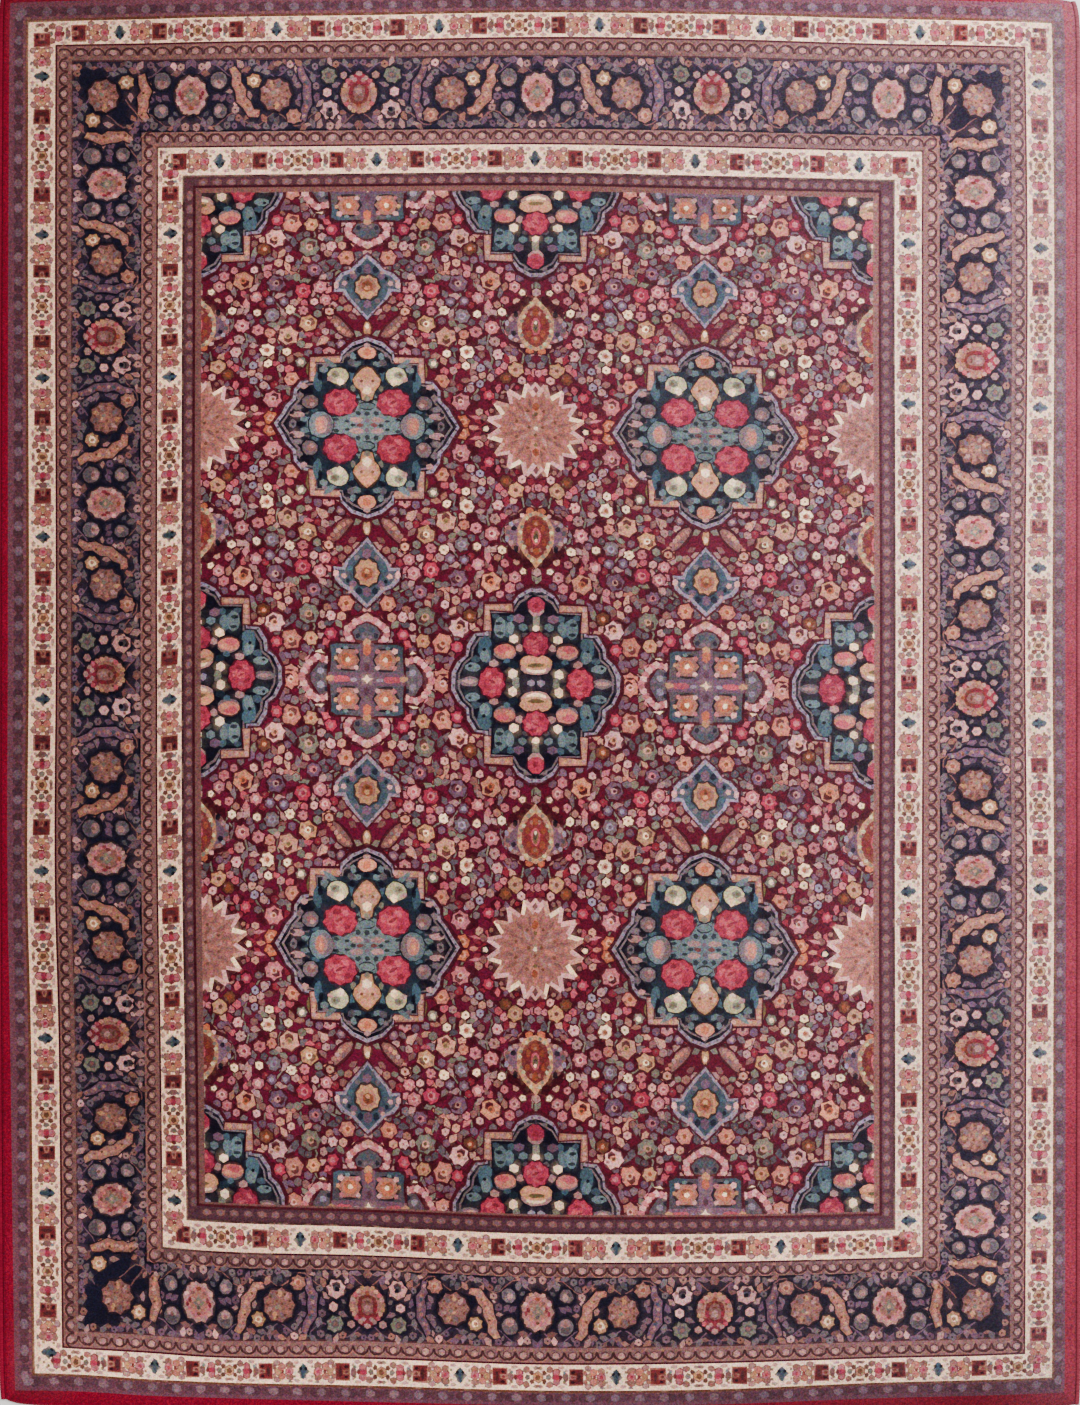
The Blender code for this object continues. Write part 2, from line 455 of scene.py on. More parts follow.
def two_sided(half):
    """A closed outline from its points right of the upright axis, from top to bottom."""
    return half + [(-x, y) for x, y in half[::-1] if abs(x) > SAME_POINT]


# ---------------------------------------------------------------- small flowers
TINY_FLOWER, OPEN_FLOWER = 5.0, 8.5      # below the first it is a dotted disc, from the second open on a side
HALO = 1.5                               # width of its dark edge


def flower(pen, x, y, r, petal, ring=None, eye="maroon", halo="maroon"):
    """A small round flower: a dark edge, petals, a ring and an eye. A large one is open on one side."""
    pen.disc(halo, x, y, r + HALO)
    if r < TINY_FLOWER:
        pen.disc(petal, x, y, 0.94 * r)
        pen.disc(eye or "rose brown", x + 0.2, y - 0.2, 0.32 * r)
        return
    lobes = 6 + int(x + y) % 2
    pen.petals(petal, x, y, 1.08 * r, lobes, 0.80, 1.0, 10 * (int(x) % 5))
    is_open = r >= OPEN_FLOWER
    if is_open:
        dx, dy = polar(0.35 * r, math.radians(30 * (int(x + 2 * y) % 12)))
        pen.disc(halo, x + dx, y + dy, 0.48 * r)
    if ring:
        pen.disc(ring, x + 0.3, y + 0.2, r * (0.40 if is_open else 0.54), sides=6)
    if eye:
        pen.disc(eye, x - 0.3, y, r * (0.22 if is_open else 0.32))
    pen.disc("rose brown", x + 0.62 * r, y + 0.3 * r, 0.20 * r)


def rose(pen, x, y, r, tall=None):
    """A full red rose with a ragged edge and darker and paler petals."""
    stretch = (tall or r) / r
    pen.petals("maroon", x, y, r + 1.2, 9, 0.90, stretch)
    pen.petals("rose", x, y, r, 9, 0.86, stretch, 12)
    for i in range(7):
        angle = math.tau * (i / 7 + 0.05)
        dye = ("deep rose", "light rose", "rose", "light rose")[i % 4]
        reach = 0.62 * r
        pen.leaf(dye, x + reach * math.cos(angle), y + stretch * reach * math.sin(angle),
                 0.62 * r, 0.34 * r, math.degrees(angle) + 110, 2.0)
    pen.disc("light rose", x - 0.1 * r, y, 0.32 * r)
    pen.leaf("deep rose", x - 0.25 * r, y + 0.1 * r, 0.6 * r, 0.22 * r, -35, 1.0)


# ---------------------------------------------------------------- the field's large figures
def beads(pen, dyes, points, pitch, r):
    """Dots of wool at even steps along a line through the points, each dye in its turn."""
    count, walked = 0, pitch / 2
    for (x0, y0), (x1, y1) in zip(points, points[1:]):
        length = math.hypot(x1 - x0, y1 - y0)
        while walked < length:
            share = walked / length
            pen.disc(dyes[count % len(dyes)], x0 + (x1 - x0) * share, y0 + (y1 - y0) * share, r)
            count += 1
            walked += pitch
        walked -= length


def bracket(pen, x, y, reach, arm):
    """One corner of the salmon frame round a medallion, its middle line's corner at x, y."""
    line = [(x, y - arm), (x, y), (x - reach, y)]
    pen.ribbon("maroon", [(x, y - arm - 1), (x, y), (x - reach - 1, y)], 10.0)
    pen.ribbon("dull salmon", line, 7.4)
    beads(pen, ("pale salmon", "dusty pink", "tan"), line, 5.2, 2.7)


MEDALLION_REACH = 92         # half a medallion's width
FRAME_EDGE = 4.5             # how far its dark edge stands out round the lilac line
FRAME_LINE = 3.6             # width of the lilac line
SECOND_LINE = FRAME_LINE + 4.2           # how far inwards the thin second line lies
GROUND_RIM = FRAME_LINE + 7              # and where the ground starts


def lobed_frame(pen, ground, quarter):
    """A medallion's dark edge, its beaded lilac line and its ground, from the outline of one quarter."""
    def drawn(by):
        share = 1 - by / MEDALLION_REACH
        return [(x * share, y * share) for x, y in quarter]
    pen.patch("maroon", four_sided(drawn(-FRAME_EDGE)))
    pen.patch("lilac", four_sided(drawn(0)))
    pen.patch("ink", four_sided(drawn(FRAME_LINE)))
    for corner in pen.quarters():
        beads(corner, ("smoke", "mauve"), drawn(FRAME_LINE / 2), 8.4, 1.7)
        corner.ribbon("grey mauve", drawn(SECOND_LINE), 2.0)
    pen.patch(ground, four_sided(drawn(GROUND_RIM)))


def rose_medallion(pen):
    """The wide medallion with four roses, 188 by 190 units."""
    lobed_frame(pen, "ink", [
        (93, 0), (86, 11), (81, 20), (74, 28), (73, 38), (66, 47), (56, 49),
        (55, 73), (27, 74), (26, 80), (15, 90), (0, 96),
    ])
    pen.patch("deep teal", four_sided([(66, 0), (62, 24), (48, 40), (44, 66), (20, 68), (0, 72)]))
    pen.patch("grey teal", four_sided([
        (60, 0), (58, 8), (36, 7), (24, 10), (12, 30), (9, 32), (8, 34), (0, 34),
    ]))
    for quarter in pen.quarters():
        bracket(quarter, 54, 71, 26, 24)
        quarter.leaf("grey teal", 30, 62, 18, 6, 30, 2)
        quarter.leaf("teal", 48, 36, 22, 9, 76, 3)
        quarter.leaf("smoke", 58, 12, 16, 7, 30, 2)
        quarter.leaf("teal", 12, 44, 18, 6, 80, -3)
        quarter.spots((
            ("dusty pink", 70, 10.5, 8, 3.6), ("ink", 62, 15, 4, 3), ("grey teal", 62, 6, 5, 3),
            ("grey mauve", 70, 18, 5, 3), ("ink", 75, 12, 3, 2.4), ("teal", 52, 15, 4, 3),
            ("ink", 64, 36, 3.4, 3.4), ("dusty pink", 63, 42, 4, 3.2), ("grey mauve", 67, 30, 4, 4.4),
            ("ink", 57, 24.5, 9.6, 9.2), ("grey mauve", 57, 24.5, 8.2, 7.8), ("rose brown", 56, 24, 5, 4.6),
            ("dusty pink", 55, 22, 3, 2.6), ("grey teal", 43, 60, 4.6, 3.8), ("ink", 47, 52, 2.6, 5),
            ("ink", 29, 53.5, 12.0, 10.6), ("green cream", 29, 53.5, 10.6, 9.4), ("cream", 27, 47, 4, 4.2),
            ("grey green", 32, 55, 5, 4.2), ("olive", 33, 55, 2, 1.6), ("dusty pink", 37, 50, 3.6, 3),
            ("grey mauve", 42, 65, 3.4, 2.6), ("ink", 15, 60, 4.4, 3.6), ("grey teal", 11, 67, 5.4, 3.6),
            ("ink", 11, 75, 6.4, 6), ("grey teal", 14, 75, 3.2, 4.2), ("smoke", 16, 68, 4, 4),
            ("ink", 9, 13, 3, 3), ("ink", 20, 4.4, 3, 1.6), ("grey green", 14, 40, 2.6, 4),
            ("ink", 9, 28, 3, 2), ("ink", 31, 6, 3.4, 2), ("mauve", 33, 1.6, 3, 1.4),
            ("grey mauve", 19, 77, 2.6, 3),
        ))
    for side in pen.mirrored():
        side.spots((
            ("ink", 46, 0, 13.6, 15.2), ("grey teal", 46, 0, 12.4, 14.2), ("grey mauve", 42, 0, 8.6, 11.5),
            ("dusty pink", 46, 0, 6.4, 9.6), ("salmon", 47, 0, 4.4, 8.0), ("peach", 47, 1, 2.2, 4.4),
            ("ink", 66, 0, 5, 2.6), ("grey mauve", 74, 0, 4, 5.4), ("ink", 74, 0, 2, 2),
        ))
    for end in pen.ends():
        end.patch("ink", two_sided([
            (0, -66), (7, -64), (13, -55), (15.5, -46), (9, -37), (6, -26), (0, -25),
        ]))
        end.patch("tan", two_sided([
            (0, -64), (5, -61), (10, -55), (14, -49), (12, -42), (7, -37), (5, -28), (0, -27),
        ]))
        end.spots((
            ("peach", 0, -56, 7, 5), ("pale salmon", 0, -45, 10, 5.0), ("cream", 0, -38, 5, 5),
            ("grey green", 0, -29, 3.4, 3.6), ("brown", -5.6, -48, 2.0, 1.8), ("brown", 5.6, -48, 2.0, 1.8),
            ("tan", 0, -50, 2.2, 4), ("pale salmon", 9, -50, 2.6, 3), ("pale salmon", -9, -50, 2.6, 3),
            ("ink", 0, -69, 3.6, 2.6), ("ink", 0, -79, 11, 8.4),
            ("peach", 0, -79, 9.4, 6.8), ("orange", 0, -79, 4.4, 4.2), ("dusty pink", 0, -87, 4, 2.4),
        ))
    for x, y in ((-26.7, -24.6), (26.7, -24.6), (-26.7, 24.2), (26.7, 24.2)):
        rose(pen, x, y, 17.6, 15.4)
    for sign in (-1, 1):
        pen.spots((
            ("ink", 0, 21 * sign, 8.6, 5.4), ("grey teal", 0, 21 * sign, 8, 3.8),
            ("ink", 0, 12.5 * sign, 3.2, 3), ("grey teal", 25 * sign, 0, 8, 3.2),
            ("dusty pink", 10.4 * sign, -5.6, 7, 3.0), ("dusty pink", 10.4 * sign, 6, 7, 3.0),
            ("brick", 7 * sign, 0, 4, 2.2), ("ink", 14 * sign, 0, 3, 2), ("mauve", 0, 5 * sign, 2.6, 2.4),
        ))


def cross_rose_medallion(pen):
    """The tall medallion with a rose on each arm, 176 by 190 units."""
    lobed_frame(pen, "ink", [
        (84, 0), (84, 8), (78, 20), (70, 27), (69, 37), (61, 49), (50, 50),
        (50, 78), (25, 79), (24, 80), (18, 90), (6, 97), (0, 97),
    ])
    for quarter in pen.quarters():
        bracket(quarter, 48.5, 76.5, 25, 24)
        quarter.leaf("teal", 48, 20, 26, 13, 78, -3)
        quarter.leaf("teal", 26, 47, 22, 12, 60, 0)
        quarter.spots((
            ("grey teal", 51, 27, 5, 7), ("teal", 50, 40, 6, 7), ("grey teal", 63, 15, 8, 4.4),
            ("slate", 60, 23, 5, 4), ("grey teal", 36, 56, 6, 11), ("ink", 36, 50, 4, 2),
            ("ink", 37, 60, 4, 2), ("grey teal", 26, 56, 4.4, 7), ("teal", 25, 66, 4, 4),
            ("grey teal", 13, 57, 5, 4),
            ("mauve", 17, 65.5, 6, 4.4), ("ink", 31, 32, 13, 9.6), ("grey mauve", 31, 29, 11, 6),
            ("salmon", 31, 32, 11, 7), ("light rose", 33, 34, 7, 4), ("peach", 27, 30, 4, 3),
            ("cream", 22, 44.5, 5, 4.6), ("dusty pink", 16, 35.5, 4.2, 4), ("cream", 23, 9, 4.8, 5.2),
            ("deep teal", 22, 18, 6, 4), ("dusty pink", 42, 19, 5, 4), ("grey green", 20, 2, 4, 4),
            ("ink", 52, 33, 2, 2), ("ink", 66, 16, 2, 1.6), ("slate", 40, 67, 4, 3), ("smoke", 10, 49, 4, 3),
            ("teal", 29, 22, 4, 3), ("ink", 13, 74, 4, 5), ("grey mauve", 9, 88, 3.4, 2.6),
        ))
    for side in pen.mirrored():
        side.leaf("grey mauve", 56, 0, 23, 10, 0, 0)
        side.leaf("dusty pink", 60, 0, 14, 4, 0, 0)
        rose(side, 44, 0, 13.6, 16)
        side.disc("lilac", 5, 0, 4.2, 3.6)
    for end in pen.ends():
        end.spots((
            ("ink", 0, -19, 18.6, 11.4), ("dusty pink", 0, -16, 15.6, 8), ("cream", 0, -14, 10, 4),
            ("tan", 0, -21, 16.6, 8), ("peach", 0, -24, 13, 5), ("olive", 0, -18, 8.6, 2.2),
            ("grey green", 0, -64, 3.6, 10), ("cream", 0, -56, 4.2, 3.4),
            ("ink", 0, -79, 11, 11), ("dusty pink", 0, -76, 8, 8), ("rose", 0, -80, 8.8, 8.6),
            ("deep rose", 0, -79, 3.4, 3.4),
        ))
        rose(end, 0, -39.6, 13.6, 13)


def ring_cross(pen):
    """The cross of four ringed rosettes with a beaded arch at each end, 130 by 134 units."""
    for end in pen.ends():
        end.patch("maroon", two_sided([(0, -70), (14, -64), (25, -52), (24, -42), (17, -32)]))
        end.patch("smoke", two_sided([(0, -57), (9, -54), (14, -47), (11, -40), (0, -38)]))
        for side in end.mirrored():
            beads(side, ("pink", "pale pink"), [(13.5, -36), (20, -44), (19, -51), (11, -58), (1, -63)],
                  5.0, 3.9)
            side.spots((
                ("slate", 5, -50, 3.6, 3.4), ("navy", 9, -44, 2.6, 3), ("pale dusk", 3, -43, 2.4, 2.2),
            ))
        end.disc("pale salmon", 0, -64, 4.2, 3.2)
    for side in pen.mirrored():
        side.patch("maroon", [(36, -25), (54, -27), (69, 0), (54, 27), (36, 25)])
        side.patch("smoke", [(36, -15), (48, -16), (56, -4), (56, 4), (48, 16), (36, 15)])
        for half in (side, side.at(0, 0, down=-1)):
            beads(half, ("pale pink", "pink"), [(37, -18), (51, -21), (60, -12), (65, -1)], 5.2, 3.9)
            half.spots((
                ("lilac", 46, -7, 3.8, 3.6), ("navy", 40, -11, 2.8, 2.6), ("mauve", 53, -3, 2.4, 2.6),
            ))
    pen.patch("maroon", four_sided([(40, 0), (38, 36), (35, 38), (0, 38)]))
    pen.patch("smoke", four_sided([(37, 0), (35, 33), (32, 35), (0, 36)]))
    pen.patch("mauve", four_sided([(40, 0), (38, 6), (7, 7), (7, 37), (0, 38)]))
    for quarter in pen.quarters():
        quarter.patch("slate", [(35, 16), (36, 33), (30, 36), (16, 35), (27, 30)])
        quarter.petals("ink", 19, 19.6, 13.4, 6, 0.92)
        quarter.petals("dull salmon", 19, 19.6, 11.6, 6, 0.86)
        quarter.spots((
            ("pale pink", 10.8, 11.6, 2.8, 2.6), ("pink", 27.6, 11.6, 2.8, 2.6),
            ("pink", 10.6, 28, 2.8, 2.6), ("pale pink", 28, 28.4, 3.4, 3.2), ("orange", 19, 19.4, 7.4, 7.0),
            ("rust", 20.6, 21.4, 4.4, 4.2), ("cream", 18.8, 19.6, 2.8, 2.8), ("tan", 31, 21, 2.2, 2.4),
            ("grey teal", 21, 31.6, 2.8, 2.0),
        ))
    for sign in (-1, 1):
        pen.spots((
            ("tan", 0, 37 * sign, 4.4, 4.6), ("orange", 0, 30 * sign, 4.4, 6.0),
            ("grey mauve", 0, 20 * sign, 3.6, 3.6), ("plum", 0, 12 * sign, 3, 4.4),
            ("light rose", 25.5 * sign, 0.5, 9, 3.2), ("tan", 37 * sign, 0, 4.4, 3),
            ("lilac", 13 * sign, 1, 3.6, 2),
        ))
    pen.patch("cream", [(0, -5), (2, -1), (6, 0), (2, 2), (0, 5), (-2, 1.5), (-6, 0), (-2, -1.5)])


STAR_PETALS = 16
STAR_TOOTH = 0.165           # half the angle over which a cream-edged petal opens


def petal_star(pen):
    """The round flower with sixteen cream-edged petals, 98 units across."""
    gaps = [math.tau * i / STAR_PETALS for i in range(STAR_PETALS)]
    petals = [math.tau * (i + 0.5) / STAR_PETALS for i in range(STAR_PETALS)]
    pen.petals("maroon", 0, 0, 52, STAR_PETALS, 0.90)
    for i, angle in enumerate(gaps):
        pen.disc(("dull salmon", "rose brown", "deep rose")[i % 3], *polar(48, angle), 2.6)
    pen.petals("star ground", 0, 0, 44, STAR_PETALS, 0.82, 1.0, 180 / STAR_PETALS)
    for i, angle in enumerate(petals):
        left, right = "cream" if i % 2 else "pale pink", "pale pink" if i % 3 else "pale salmon"
        for turn, dye in ((-STAR_TOOTH, left), (STAR_TOOTH, right)):
            pen.ribbon(dye, [polar(36, angle + turn), polar(48.5, angle)], 4.2)
    for i, angle in enumerate(petals):
        turn = math.degrees(angle)
        pen.leaf("rose brown", *polar(22, angle), 12.5, 4.2, turn, 0)
        inner = ("salmon", "rose brown", "dusty pink", "rose brown")[i % 4]
        pen.leaf(inner, *polar(10, angle), 12, 4.4, turn, 1)
        pen.disc("dusty pink" if i % 2 else "brown", *polar(21, angle + 0.2), 1.9)
        pen.disc("salmon" if i % 2 else "pink", *polar(31, angle + 0.19), 2.5)
    for end in pen.ends():
        end.leaf("salmon", 0, 14, 18, 8.4, 90, 0)
        end.disc("rust", 0, 24, 3.4, 4.6)
        end.disc("olive", 0, 16, 2.4, 2.6)
        end.ribbon("pale pink", [(-7, 40), (0, 48), (7, 40)], 4.0)
    pen.petals("dull salmon", 0, 0, 9, 8, 0.7)
    for x, y in ((-6.5, -2), (6.5, -2), (0, 6)):
        pen.disc("brown", x, y, 1.9)
    pen.disc("cream", 0, -0.5, 2.4)
    for side in pen.mirrored():
        side.spots((("ink", 50, 1, 4.6, 4.6), ("cream", 50, 1, 3.0, 3.2)))
        side.leaf("pink", 55, 10, 12, 4, 10, 0)
        side.leaf("pink", 55, -10, 12, 4, -10, 0)
        side.disc("salmon", 62, 0, 5, 2.6)


def oval_cartouche(pen):
    """The upright drop with a dark heart, crowned above and pointed below, 62 by 62 units."""
    pen.petals("maroon", 0, 0, 34, 10, 0.88)
    for side in pen.mirrored():
        side.patch("rose brown", [(12, -20), (24, -17), (31, -8), (30, 2), (24, 12), (17, 16)])
        side.patch("mauve", [(14, -16), (23, -13), (27, -6), (26, 2), (17, 10)])
        side.spots((
            ("ink", 22, -9, 3, 3), ("ink", 20, 12, 2.6, 4), ("orange", 6, -27, 4.2, 3.6),
            ("lilac", 25, -13, 2.6, 2.6), ("pale pink", 13, -22, 3, 2.6), ("lilac", 29, 2, 2.2, 3.4),
            ("dusty pink", 25, 6, 3, 3), ("smoke", 28, -5, 2.4, 3), ("dusty pink", 20, -16, 2.6, 2.4),
        ))
    pen.patch("tan", two_sided([(0, -27), (11, -23), (18, -10), (18, 6), (12, 18), (5, 25), (0, 32)]))
    pen.patch("brick", two_sided([(0, -23), (9, -19), (14, -9), (14, 5), (9, 15), (0, 22)]))
    for side in pen.mirrored():
        rim = [(3, -25), (13, -16), (16.5, 0), (8, 18), (2, 27)]
        beads(side, ("grey green", "green cream", "dull salmon"), rim, 5.4, 2.2)
        side.spots((("rust", 7, -9, 2.6, 4), ("rust", 8, 5, 2.4, 4), ("dull salmon", 4, 13, 2, 2.6)))
    pen.spots((
        ("rust", 0, -15, 4.4, 4), ("dull salmon", 0, -14, 2, 2), ("rust", 0, 14, 3.4, 4),
        ("light rose", 0, -1, 4.6, 9), ("olive", 0, -1, 3, 7), ("ink", 0, 0, 1.8, 4.4),
        ("cream", 0, 3, 1.6, 2),
    ))


def diamond_cartouche(pen):
    """The lilac-edged diamond with a palmette at its heart, 68 by 68 units."""
    outline = [
        (0, -36), (10, -24), (20, -13), (24, -5), (33, -5), (32, 8), (26, 15), (17, 19), (9, 28), (0, 36),
    ]
    pen.patch("maroon", two_sided([(x * 1.10, y * 1.08) for x, y in outline]))
    pen.patch("lilac", two_sided(outline))
    pen.patch("slate", two_sided([
        (0, -32), (9.5, -21), (18, -11), (21.5, -2), (29.5, -2), (28.5, 6), (23.5, 12), (15, 16),
        (7.5, 24.5), (0, 32),
    ]))
    for side in pen.mirrored():
        beads(side, ("smoke", "dusty pink"), [(2, -33), (22, -9), (31, -2), (28, 12), (2, 33)], 9.4, 1.6)
        side.spots((
            ("pale pink", 31, 2, 2.8, 4), ("pale pink", 23, 4, 3.0, 3.0), ("mauve", 14, 12, 4, 4),
            ("navy", 8, 19, 3.4, 4), ("dusty pink", 15, 16, 2.4, 2.4), ("grey mauve", 10, -15, 3, 3),
            ("teal", 17, -4, 2.6, 3), ("ink", 19, 9, 2, 2.6), ("smoke", 5, -24, 2.4, 3),
        ))
    pen.petals("ink", 0, 0, 14.6, 9, 0.92, 1.12)
    pen.petals("tan", 0, 0, 12.8, 9, 0.84, 1.12)
    pen.spots((
        ("mauve", 0, -19, 5, 5), ("dull salmon", 0, 1, 9, 9.4), ("tan", 0, -7, 6, 4), ("rust", 0, 1, 6, 6.4),
        ("tan", 0, -1, 3, 3), ("brown", 0, 3, 2.4, 2.4), ("mauve", 0, 20, 4.6, 6),
    ))


def diamond_leaves(pen):
    """The drop and the two curved sprays over a diamond, and the drop under it."""
    pen.disc("maroon", 0, -47, 5.6, 11)
    pen.disc("tan", 0, -47, 3.4, 9)
    pen.disc("cream", 0, -43, 2.2, 3.4)
    pen.disc("dusty pink", 0, 38, 5, 3.4)
    for side in pen.mirrored():
        side.leaf("maroon", 12, -56, 36, 17, 34, 10)
        side.leaf("rose brown", 15, -54, 30, 12, 34, 9)
        spray = [(17, -53), (27, -46), (34, -38), (40, -30)]
        beads(side, ("dull salmon", "salmon", "tan", "dusty pink"), spray, 5.2, 2.7)
        beads(side, ("grey mauve", "dull salmon"), [(22, -43), (30, -37)], 6.0, 2.0)
        side.disc("maroon", 38, -27, 6.6, 6.2)
        side.disc("pale salmon", 38, -27, 4.6, 4.4)
        side.disc("rust", 38, -27, 1.8, 1.8)


# ---------------------------------------------------------------- the small flowers of one quarter
# x and y count from the rose medallion's middle. The quarter runs to x 169 and y 260.
FLOWERS = (
    # x    y    r    petal          ring           eye
    (94,  27,  9.0, "pink",        "pale pink",   "rust"),
    (75,  49,  7.5, "salmon",      "peach",       "rust"),
    (96,   6,  7.0, "orange",      "peach",       "rust"),
    (113, 47,  4.5, "lilac",       None,          "maroon"),
    (114, 64,  4.5, "lilac",       None,          "maroon"),
    (99,  66,  4.6, "cream",       None,          "maroon"),
    (80,  79,  4.6, "cream",       None,          "olive"),
    (100, 81,  7.0, "cream",       "pale salmon", "rust"),
    (79,  97, 10.0, "pale salmon", "tan",         "olive"),
    (97, 100,  5.2, "salmon",      None,          "rust"),
    (131, 79,  5.4, "pale pink",   None,          "rose"),
    (149, 63,  8.0, "tan",         "pale salmon", "brown"),
    (125, 108, 7.2, "pink",        "pale pink",   "deep rose"),
    (109, 103, 6.0, "pink",        None,          "maroon"),
    (128,  93, 5.4, "dusty pink",  None,          "maroon"),
    (59, 111,  9.0, "tan",         "cream",       "rust"),
    (38, 124,  6.5, "peach",       "orange",      None),
    (64, 125,  5.0, "pink",        None,          "maroon"),
    (77, 126,  5.0, "cream",       None,          "rust"),
    (53, 135,  4.4, "pale pink",   None,          None),
    (42, 137,  6.0, "pink",        "pale pink",   "rose"),
    (135, 125, 4.8, "cream",       None,          "olive"),
    (95, 120,  7.5, "grey mauve",  "lilac",       "mauve"),
    (83, 135,  5.0, "mauve",       "lilac",       None),
    (97, 136,  5.0, "mauve",       "lilac",       None),
    (111, 140, 6.0, "pink",        "pale pink",   None),
    (64, 147,  8.0, "rose",        "pink",        "deep rose"),
    (47, 151,  7.0, "pink",        "pale pink",   "rose"),
    (91, 155,  9.0, "mauve",       "dusty pink",  "maroon"),
    (124, 158, 10.0, "peach",      "orange",      "brown"),
    (148, 152, 6.0, "pink",        "pale pink",   "maroon"),
    (143, 163, 5.2, "pink",        None,          "rose"),
    (156, 146, 3.6, "cream",       None,          None),
    (113, 170, 4.2, "pale pink",   None,          None),
    (133, 170, 4.2, "pink",        None,          None),
    (78, 182,  4.4, "pale pink",   None,          None),
    (58, 195, 10.0, "grey green",  "pale salmon", "olive"),
    (103, 193, 7.0, "brown",       "rust",        "peach"),
    (92, 205,  9.6, "pale pink",   "peach",       "brown"),
    (56, 220,  7.0, "tan",         "peach",       "rust"),
    (76, 222, 10.0, "salmon",      "pale salmon", "rust"),
    (90, 225,  6.0, "rose",        "pink",        None),
    (21, 183,  8.0, "salmon",      "peach",       "rust"),
    (47, 237,  5.4, "cream",       None,          "rose"),
    (76, 257,  9.0, "salmon",      "pale pink",   "rust"),
    (38,  78,  6.4, "pink",        "dusty pink",  "maroon"),
    (26,  88,  5.0, "mauve",       "dusty pink",  None),
    (53, 170,  7.0, "mauve",       "pink",        "maroon"),
    (36, 196,  5.0, "pale pink",   None,          "rose"),
    (36, 214,  6.0, "rose",        "pink",        None),
    (138, 138, 4.6, "pink",        None,          "maroon"),
    (155, 52,  4.6, "pale pink",   None,          "maroon"),
    (139, 54,  6.0, "brown",       "rust",        None),
    (110, 122, 4.4, "cream",       None,          None),
    (66,  68,  5.4, "grey green",  "cream",       None),
    (122, 35,  5.4, "rose",        "pink",        None),
)
# Leaves: base, length, width, direction clockwise from the right, bend of the tip
LEAVES = (
    # x    y   long wide turn bend  dye
    (58,  52,  22, 7,  92,  4, "olive"),
    (84,  38,  16, 6, 150, -3, "grey mauve"),
    (98,  38,  14, 6,  40,  3, "lilac"),
    (120, 55,  20, 8,  20,  5, "mauve"),
    (130, 68,  20, 8,  60, -6, "grey mauve"),
    (145, 76,  20, 7, 110,  5, "mauve"),
    (88,  88,  14, 5, 100, -4, "grey green"),
    (68,  85,  18, 6,  85,  5, "pale salmon"),
    (112, 84,  16, 6,  80, -5, "grey mauve"),
    (46,  92,  18, 7,  70,  5, "mauve"),
    (140, 98,  20, 7,  95,  5, "grey mauve"),
    (86, 108,  20, 5,  95, -5, "grey green"),
    (104, 112, 16, 5, 110,  4, "grey mauve"),
    (118, 116, 18, 6,  75, -5, "dusty pink"),
    (70, 132,  18, 5, 110,  4, "salmon"),
    (98, 146,  22, 6,  95,  5, "grey green"),
    (110, 150, 20, 6, 100, -5, "grey green"),
    (132, 140, 18, 5,  70,  4, "grey mauve"),
    (66, 160,  22, 7,  40, -8, "salmon"),
    (78, 168,  20, 6,  70,  6, "pale salmon"),
    (38, 164,  20, 7,  35, -5, "grey mauve"),
    (28, 150,  16, 5,  10,  4, "dusty pink"),
    (92, 180,  18, 6,  60, -5, "mauve"),
    (114, 182, 18, 6,  95,  5, "grey green"),
    (44, 202,  18, 6,  80, -6, "maroon"),
    (70, 200,  18, 6,  20,  5, "grey mauve"),
    (66, 234,  16, 5, 120,  4, "grey green"),
    (92, 238,  16, 6,  95,  4, "mauve"),
    (56, 246,  16, 5,  30, -4, "dusty pink"),
    (14, 196,  14, 5,  80,  3, "pale salmon"),
    (50,  86,  16, 5, 130, -4, "dusty pink"),
    (150, 168, 16, 6,  60,  4, "grey mauve"),
    (126, 122, 14, 5, 140, -3, "dusty pink"),
    (16,  98,  18, 6,  20,  4, "grey mauve"),
)
# Thin stems through the quarter, as runs of points
STEMS = (
    ((96, 14), (88, 32), (86, 50), (90, 66), (86, 84), (76, 96)),
    ((104, 30), (112, 42), (122, 58), (126, 74), (120, 92), (124, 108)),
    ((60, 112), (70, 120), (86, 126), (94, 138), (92, 154)),
    ((92, 156), (104, 170), (106, 186), (96, 202), (84, 214), (76, 222)),
    ((124, 158), (132, 146), (136, 128), (146, 112), (156, 104)),
    ((38, 124), (50, 142), (62, 150), (70, 162), (66, 180), (58, 196)),
    ((58, 196), (52, 208), (56, 220), (52, 234), (60, 246), (74, 256)),
    ((150, 62), (156, 72), (158, 86), (150, 98)),
    ((22, 184), (30, 172), (44, 164), (56, 168)),
)
FILLER_DYES = ("pink", "dusty pink", "dull salmon", "grey mauve", "mauve", "grey green", "rose brown",
               "light rose", "grey mauve", "dusty pink", "deep rose", "smoke", "pale salmon", "rose brown")
FIELD_FILLERS = 200          # small leaves and dots in a quarter
POCKETS = 54                 # darker places of its ground
LEAST_DISC, LEAST_EDGED = 3.7, 2.8       # from which radius a filler is a disc, and from which it has an edge
QUARTER_SEED = 7


def free_places(rng, taken, count, box, gap, sizes, tries=9000):
    """Random places in the box that stay clear of what is taken, each then taken itself."""
    found = []
    low_x, high_x, low_y, high_y = box
    for _ in range(tries):
        if len(found) == count:
            break
        x, y, r = rng.uniform(low_x, high_x), rng.uniform(low_y, high_y), rng.uniform(*sizes)
        if all(math.hypot(x - a, y - b) > r + c + gap for a, b, c in taken):
            found.append((x, y, r))
            taken.append((x, y, r))
    return found


